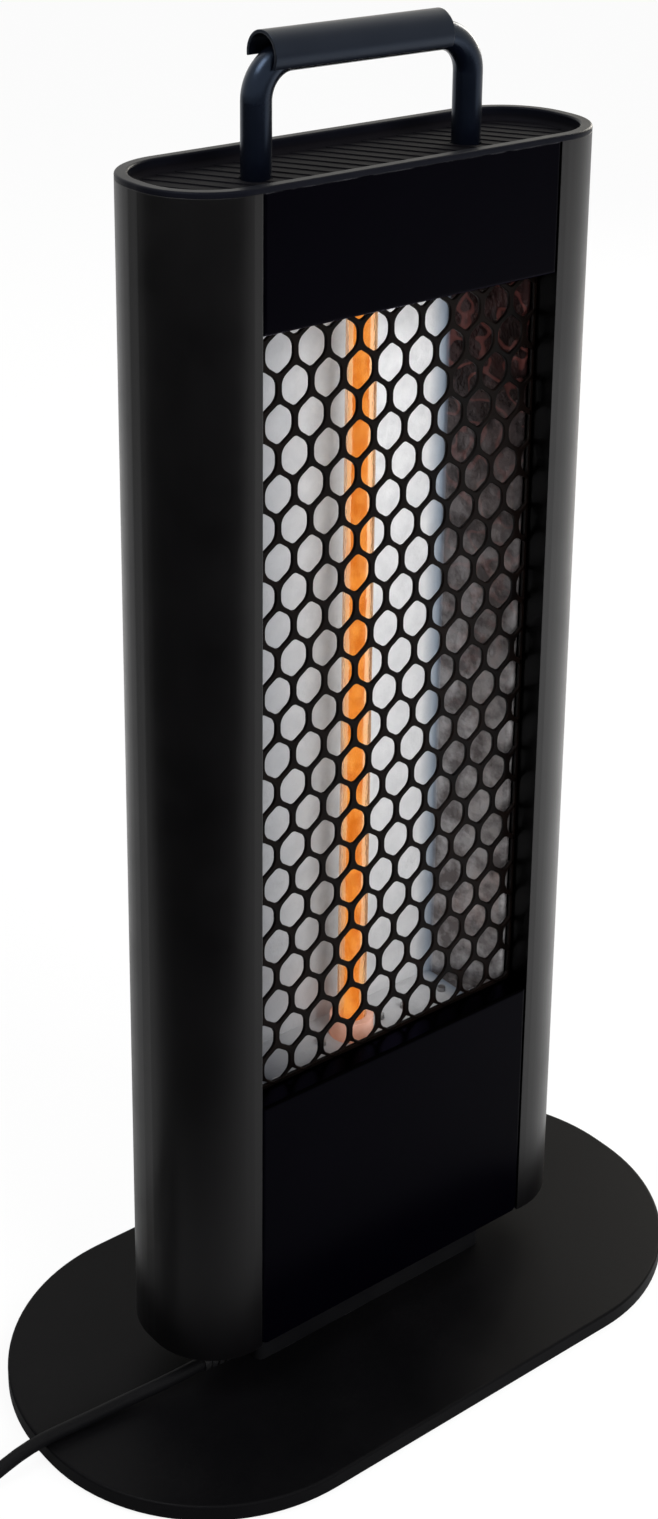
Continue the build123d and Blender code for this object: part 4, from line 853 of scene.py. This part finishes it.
def make_reflector_material():
    """Dimpled bright sheet, with painted shade toward the left and at the fold, and a right wing
    painted dark in shade, with painted reflections and red glints.
    """
    material, nodes, links, shader = new_material("reflector_sheet")
    place = nodes.new("ShaderNodeTexCoord").outputs["Object"]
    split = nodes.new("ShaderNodeSeparateXYZ")
    links.new(place, split.inputs["Vector"])
    across, up = split.outputs["X"], split.outputs["Z"]
    dimple = noise_of(nodes, links, place, 120.0, 3, 0.55)
    crease = noise_of(nodes, links, place, 55.0, 2, 0.5)
    shade_patches = noise_of(nodes, links, place, 75.0, 4, 0.6)
    # Painted shade toward the left end, and a bluish painted shade at the fold.
    toward_bright = spread(nodes, links, across, bright_from_x, bright_to_x, 0, 1)
    sheet = blended(nodes, links, toward_bright, sheet_shaded, sheet_bright)
    toward_fold = spread(nodes, links, across, cool_from_x, cool_to_x, 0, 0.95)
    sheet = blended(nodes, links, toward_fold, sheet, sheet_fold_shade)
    lower = spread(nodes, links, up, low_from_z, low_to_z, 0, 0.30)
    sheet = blended(nodes, links, lower, sheet, sheet_low_down)
    mottled = spread(nodes, links, dimple, 0.35, 0.65, 0.0, 0.16)
    bright = blended(nodes, links, mottled, sheet, sheet_dimple)
    # The wing is painted in shade: near-black at the top, with a greyer painted reflection lower
    # down, both in patches.
    patchy = spread(nodes, links, shade_patches, 0.40, 0.60, 0, 1)
    grey = blended(nodes, links, patchy, wing_painted_reflection, wing_painted_reflection_patch)
    black = blended(nodes, links, patchy, wing_painted_shade, wing_painted_shade_patch)
    # Painted red glints: thin rings of noise on the wing where it mirrors the tube's glow.
    ring = noise_of(nodes, links, place, 80.0, 1, 0.4)
    ring = worked(nodes, links, "ABSOLUTE", worked(nodes, links, "SUBTRACT", ring, 0.52), 0)
    glint_mask = spread(nodes, links, ring, 0.045, 0.015, 0, 0.9)
    black = blended(nodes, links, glint_mask, black, wing_painted_glint)
    height = spread(nodes, links, up, wing_foot_z, wing_top_z, 0, 1)
    painted_shade = blended(nodes, links, height, grey, black)
    wing = spread(nodes, links, across, wing_start_x, wing_start_x + wing_blend, 0, 1)
    links.new(blended(nodes, links, wing, bright, painted_shade), shader.inputs["Base Color"])
    links.new(spread(nodes, links, wing, 0, 1, 0.25, 0.55), shader.inputs["Metallic"])
    links.new(spread(nodes, links, wing, 0, 1, 0.42, 0.24), shader.inputs["Roughness"])
    wrinkled = worked(nodes, links, "ADD", dimple, crease)
    links.new(dented(nodes, links, wrinkled, wrinkle_depth), shader.inputs["Normal"])
    return material


dress(make_reflector_material(), "reflector", "reflector_end_upper", "reflector_end_lower")

# Zinc-plated sheet: the heat shield behind the reflector, the cross plates, the handle's
# bracket, the clips and the tilt switch's frame, folded from plate with a leafy spangle.
def make_zinc_material():
    """Zinc plate whose crystals differ a little in tone and gloss."""
    material = finish(
        "zinc_plate",
        (0.48, 0.49, 0.51),
        (0.60, 0.61, 0.62),
        rough=0.34,
        metal=1.0,
        grain=1800.0,
        depth=0.00001,
        rub_and_highlight_colour=(0.72, 0.72, 0.72),
        dust=0.04,
    )
    nodes, links = material.node_tree.nodes, material.node_tree.links
    shader = nodes["Principled BSDF"]
    crystals = nodes.new("ShaderNodeTexVoronoi")
    crystals.inputs["Scale"].default_value = 140.0
    links.new(nodes.new("ShaderNodeTexCoord").outputs["Object"], crystals.inputs["Vector"])
    tone = nodes.new("ShaderNodeRGBToBW")
    links.new(crystals.outputs["Color"], tone.inputs["Color"])
    plain = shader.inputs["Base Color"].links[0].from_socket
    faint = spread(nodes, links, tone.outputs["Val"], 0.1, 0.9, 0, 0.35)
    links.new(blended(nodes, links, faint, plain, (0.80, 0.81, 0.83)), shader.inputs["Base Color"])
    return material


dress(
    make_zinc_material(),
    "heat_shield",
    "crossplate_upper",
    "crossplate_lower",
    "handle_bracket",
    "element_clips",
    "tilt_frame",
)
dress(screw_steel, "clip_screws")

# Heating element: a carbon rod that glows orange in a clear quartz tube, held between two ceramic
# caps that the clips grip. The tube and the lower cap have the rod's glow painted on.
core_base, core_base_streak = (0.02, 0.012, 0.01), (0.05, 0.02, 0.012)
core_strength = 0.72
core_glow = (0.74, 0.195, 0.014)
core_hot = (0.95, 0.36, 0.06)
tube_painted_glow = (0.70, 0.190, 0.013)
tube_painted_streak = (0.95, 0.45, 0.10)
tube_painted_edge_glow = (1.0, 0.60, 0.32)
tube_painted_glow_strength = 0.13
cap_painted_glow = (1.0, 0.30, 0.10)
cap_painted_glow_strength = 0.12
quartz_glow_tint = (1.0, 0.82, 0.62)
streak_depth = 0.0003


def dimmed(nodes, links, colour, share):
    """A glow that lights its surroundings less than it shows."""
    path = nodes.new("ShaderNodeLightPath")
    bounces = worked(
        nodes, links, "ADD", path.outputs["Diffuse Depth"], path.outputs["Glossy Depth"]
    )
    lost = spread(nodes, links, bounces, 0, 1, 0, share)
    return blended(nodes, links, lost, colour, (0, 0, 0))


def make_core_material():
    """A glowing rod, streaked lighter."""
    material, nodes, links, shader = new_material("glowing_carbon")
    place = nodes.new("ShaderNodeTexCoord").outputs["Object"]
    streaks = noise_of(nodes, links, place, 130.0, 4, 0.6)
    hot = spread(nodes, links, streaks, 0.42, 0.62, 0, 1)
    glow = blended(nodes, links, hot, core_glow, core_hot)
    links.new(dimmed(nodes, links, glow, 0.96), shader.inputs["Emission Color"])
    shader.inputs["Emission Strength"].default_value = core_strength
    base = blended(nodes, links, streaks, core_base, core_base_streak)
    links.new(base, shader.inputs["Base Color"])
    links.new(dented(nodes, links, streaks, streak_depth), shader.inputs["Normal"])
    shader.inputs["Roughness"].default_value = 0.6
    return material


def make_quartz_material():
    """Clear quartz, faintly drawn along its length, with the rod's glow painted on: a peach tint and
    an emission that turns peach toward its edges.
    """
    material, nodes, links, shader = new_material("quartz_glass")
    stretched = nodes.new("ShaderNodeMapping")
    stretched.inputs["Scale"].default_value = (1, 1, 0.3)
    links.new(nodes.new("ShaderNodeTexCoord").outputs["Object"], stretched.inputs["Vector"])
    drawn = noise_of(nodes, links, stretched.outputs["Vector"], 230.0, 3, 0.6)
    shader.inputs["Base Color"].default_value = (*quartz_glow_tint, 1)
    shader.inputs["Transmission Weight"].default_value = 1.0
    shader.inputs["IOR"].default_value = 1.46
    links.new(spread(nodes, links, drawn, 0.3, 0.7, 0.05, 0.22), shader.inputs["Roughness"])
    links.new(dented(nodes, links, drawn, streak_depth), shader.inputs["Normal"])
    streaky = spread(nodes, links, drawn, 0.42, 0.62, 0, 1)
    glow = blended(nodes, links, streaky, tube_painted_glow, tube_painted_streak)
    facing = nodes.new("ShaderNodeLayerWeight").outputs["Facing"]
    edge = spread(nodes, links, facing, 0.45, 0.92, 0, 1)
    glow = blended(nodes, links, edge, glow, tube_painted_edge_glow)
    links.new(dimmed(nodes, links, glow, 0.9), shader.inputs["Emission Color"])
    shader.inputs["Emission Strength"].default_value = tube_painted_glow_strength
    return material


dress(make_core_material(), "carbon_core")
dress(make_quartz_material(), "quartz_tube")
ceramic = finish(
    "steatite",
    (0.62, 0.58, 0.51),
    (0.70, 0.67, 0.61),
    rough=0.32,
    shine=0.5,
    grain=900.0,
    depth=0.00005,
    mottle=80.0,
    rub_and_highlight_colour=(0.42, 0.36, 0.29),
)
dress(ceramic, "ceramic_cap_upper")


def glow_painted_ceramic():
    """The lower cap, with the glow of the tube that stands in it painted on: an orange-pink colour
    and a faint emission.
    """
    material = finish(
        "glow_painted_steatite",
        (0.72, 0.40, 0.30),
        (0.84, 0.58, 0.50),
        rough=0.32,
        grain=900.0,
        depth=0.00005,
        mottle=80.0,
        rub_and_highlight_colour=(0.6, 0.45, 0.4),
        dust=0.02,
    )
    shader = material.node_tree.nodes["Principled BSDF"]
    shader.inputs["Emission Color"].default_value = (*cap_painted_glow, 1)
    shader.inputs["Emission Strength"].default_value = cap_painted_glow_strength
    return material


dress(glow_painted_ceramic(), "ceramic_cap_lower")

# Wiring: pale sleeves on the element's leads and the supply wires, a terminal block with
# its screws, and a thermal cut-out.
wire_sleeve = finish(
    "wire_sleeve",
    (0.46, 0.44, 0.39),
    (0.58, 0.56, 0.50),
    rough=0.8,
    shine=0.2,
    grain=1100.0,
    depth=0.0002,
    rub_and_highlight=0.0,
    sheen=0.3,
)
dress(wire_sleeve, "element_leads", "supply_wires")
terminal_plastic = finish(
    "terminal_plastic",
    (0.50, 0.49, 0.45),
    (0.60, 0.59, 0.55),
    rough=0.42,
    grain=1500.0,
    depth=0.00003,
    rub_and_highlight_colour=(0.70, 0.69, 0.66),
)
dress(terminal_plastic, "terminal_block")
dress(screw_steel, "terminal_screws", "block_screws", "cutout_screws")
cutout_shell = finish(
    "cutout_shell",
    (0.10, 0.055, 0.035),
    (0.15, 0.085, 0.055),
    rough=0.38,
    grain=1400.0,
    depth=0.00004,
    rub_and_highlight_colour=(0.30, 0.20, 0.14),
)
dress(cutout_shell, "thermal_cutout")

# Tilt switch: a brass weight hangs from a pin in a sheet frame, and works a contact when
# the heater leans.
weight_brass = finish(
    "weight_brass",
    (0.66, 0.45, 0.17),
    (0.74, 0.53, 0.24),
    rough=0.3,
    metal=1.0,
    grain=2000.0,
    depth=0.00002,
    rub_and_highlight_colour=(0.85, 0.68, 0.38),
)
dress(weight_brass, "tilt_weight", "tilt_contact")
dress(screw_steel, "tilt_pin")

# Power switch: a glossy rocker in a moulded bezel. Two sprung tabs snap the bezel into the
# rear cover, near its foot.
switch_plastic = finish(
    "switch_plastic",
    (0.012, 0.012, 0.013),
    (0.017, 0.017, 0.018),
    rough=0.24,
    shine=0.45,
    grain=1700.0,
    depth=0.00002,
    rub_and_highlight=0.4,
    rub_and_highlight_colour=(0.06, 0.06, 0.06),
)
dress(switch_plastic, "switch_housing", "power_rocker", "switch_tabs")

# Studio: a pale floor that keeps a soft shadow, a white surround, a broad lamp in front,
# a key at the upper left and a warm one at the right.
floor_half = 9.0
ground_white, ground_mirror_shade = (0.88, 0.88, 0.885), (0.02, 0.02, 0.02)
ground_front = (0.85, 0.52, 0)
world_behind = (0.62, 0.78, 0)
sky_white, sky_warm = (1, 1, 1), (1.0, 0.95, 0.82)
floor_white_share = 0.90
fill_strength = 0.7
floor_shape = bmesh.new()
bmesh.ops.create_grid(floor_shape, x_segments=2, y_segments=2, size=floor_half)
floor_mesh = bpy.data.meshes.new("studio_floor")
floor_shape.to_mesh(floor_mesh)
floor_shape.free()
studio_floor = bpy.data.objects.new("studio_floor", floor_mesh)
bpy.context.scene.collection.objects.link(studio_floor)

floor_material, nodes, links, shader = new_material("studio_floor")
shader.inputs["Roughness"].default_value = 0.9
shader.inputs["Specular IOR Level"].default_value = 0.1
# Seen in reflections, the floor toward the front and left is painted dark, a painted shade that the
# heater's faces mirror.
toward_front = nodes.new("ShaderNodeVectorMath")
toward_front.operation = "DOT_PRODUCT"
toward_front.inputs[1].default_value = ground_front
links.new(nodes.new("ShaderNodeTexCoord").outputs["Object"], toward_front.inputs[0])
lit_ground = spread(nodes, links, toward_front.outputs["Value"], -0.35, 0.35, 0, 1)
path = nodes.new("ShaderNodeLightPath")
mirrored = worked(nodes, links, "SUBTRACT", 1, lit_ground)
mirrored = worked(nodes, links, "MULTIPLY", mirrored, path.outputs["Is Glossy Ray"])
ground = blended(nodes, links, mirrored, ground_white, ground_mirror_shade)
links.new(ground, shader.inputs["Base Color"])
lit = nodes.new("ShaderNodeEmission")
lit.inputs["Color"].default_value = (1, 1, 1, 1)
white_share = nodes.new("ShaderNodeMixShader")
seen = path.outputs["Is Camera Ray"]
links.new(worked(nodes, links, "MULTIPLY", seen, floor_white_share), white_share.inputs["Fac"])
links.new(shader.outputs["BSDF"], white_share.inputs[1])
links.new(lit.outputs["Emission"], white_share.inputs[2])
links.new(white_share.outputs["Shader"], nodes["Material Output"].inputs["Surface"])
floor_mesh.materials.append(floor_material)

world = bpy.data.worlds.new("studio_surround")
bpy.context.scene.world = world
world.use_nodes = True
nodes, links = world.node_tree.nodes, world.node_tree.links
path = nodes.new("ShaderNodeLightPath")
behind = nodes.new("ShaderNodeVectorMath")
behind.operation = "DOT_PRODUCT"
behind.inputs[1].default_value = world_behind
toward = nodes.new("ShaderNodeTexCoord").outputs["Generated"]
links.new(toward, behind.inputs[0])
split = nodes.new("ShaderNodeSeparateXYZ")
links.new(toward, split.inputs["Vector"])
side_light = spread(nodes, links, behind.outputs["Value"], -0.35, 0.5, 0.12, 1.0)
shown = worked(
    nodes, links, "MAXIMUM", path.outputs["Is Camera Ray"], path.outputs["Is Transmission Ray"]
)
in_gloss = worked(nodes, links, "MULTIPLY", side_light, path.outputs["Is Glossy Ray"])
bright = worked(nodes, links, "MAXIMUM", shown, in_gloss)
strength = worked(nodes, links, "MAXIMUM", bright, fill_strength)
links.new(strength, nodes["Background"].inputs["Strength"])
warm_side = spread(nodes, links, split.outputs["X"], 0.3, 0.95, 0, 1)
warm_side = worked(nodes, links, "MULTIPLY", warm_side, path.outputs["Is Glossy Ray"])
sky = blended(nodes, links, warm_side, sky_white, sky_warm)
links.new(sky, nodes["Background"].inputs["Color"])


def hang_lamp(name, place, aim, width, height, watts, colour=(1, 1, 1), mirrored=True):
    """A soft rectangular lamp that faces a point."""
    data = bpy.data.lights.new(name, "AREA")
    data.shape = "RECTANGLE"
    data.size = width
    data.size_y = height
    data.energy = watts
    data.color = colour
    lamp = bpy.data.objects.new(name, data)
    lamp.location = place
    lamp.visible_glossy = mirrored
    lamp.rotation_euler = (Vector(aim) - Vector(place)).to_track_quat("-Z", "Y").to_euler()
    bpy.context.scene.collection.objects.link(lamp)


heater_middle = (0, 0, 0.30)
hang_lamp("key_lamp", (-1.0, -0.1, 2.1), heater_middle, 0.8, 0.8, 15.0, (0.95, 0.97, 1.0))
hang_lamp("front_lamp", (0.2, -2.0, 1.2), heater_middle, 1.6, 1.6, 56.0, mirrored=False)
hang_lamp("right_lamp", (1.7, 0.7, 1.0), heater_middle, 0.6, 1.0, 14.0, (1.0, 0.95, 0.86))

bpy.context.scene.view_settings.view_transform = "Standard"
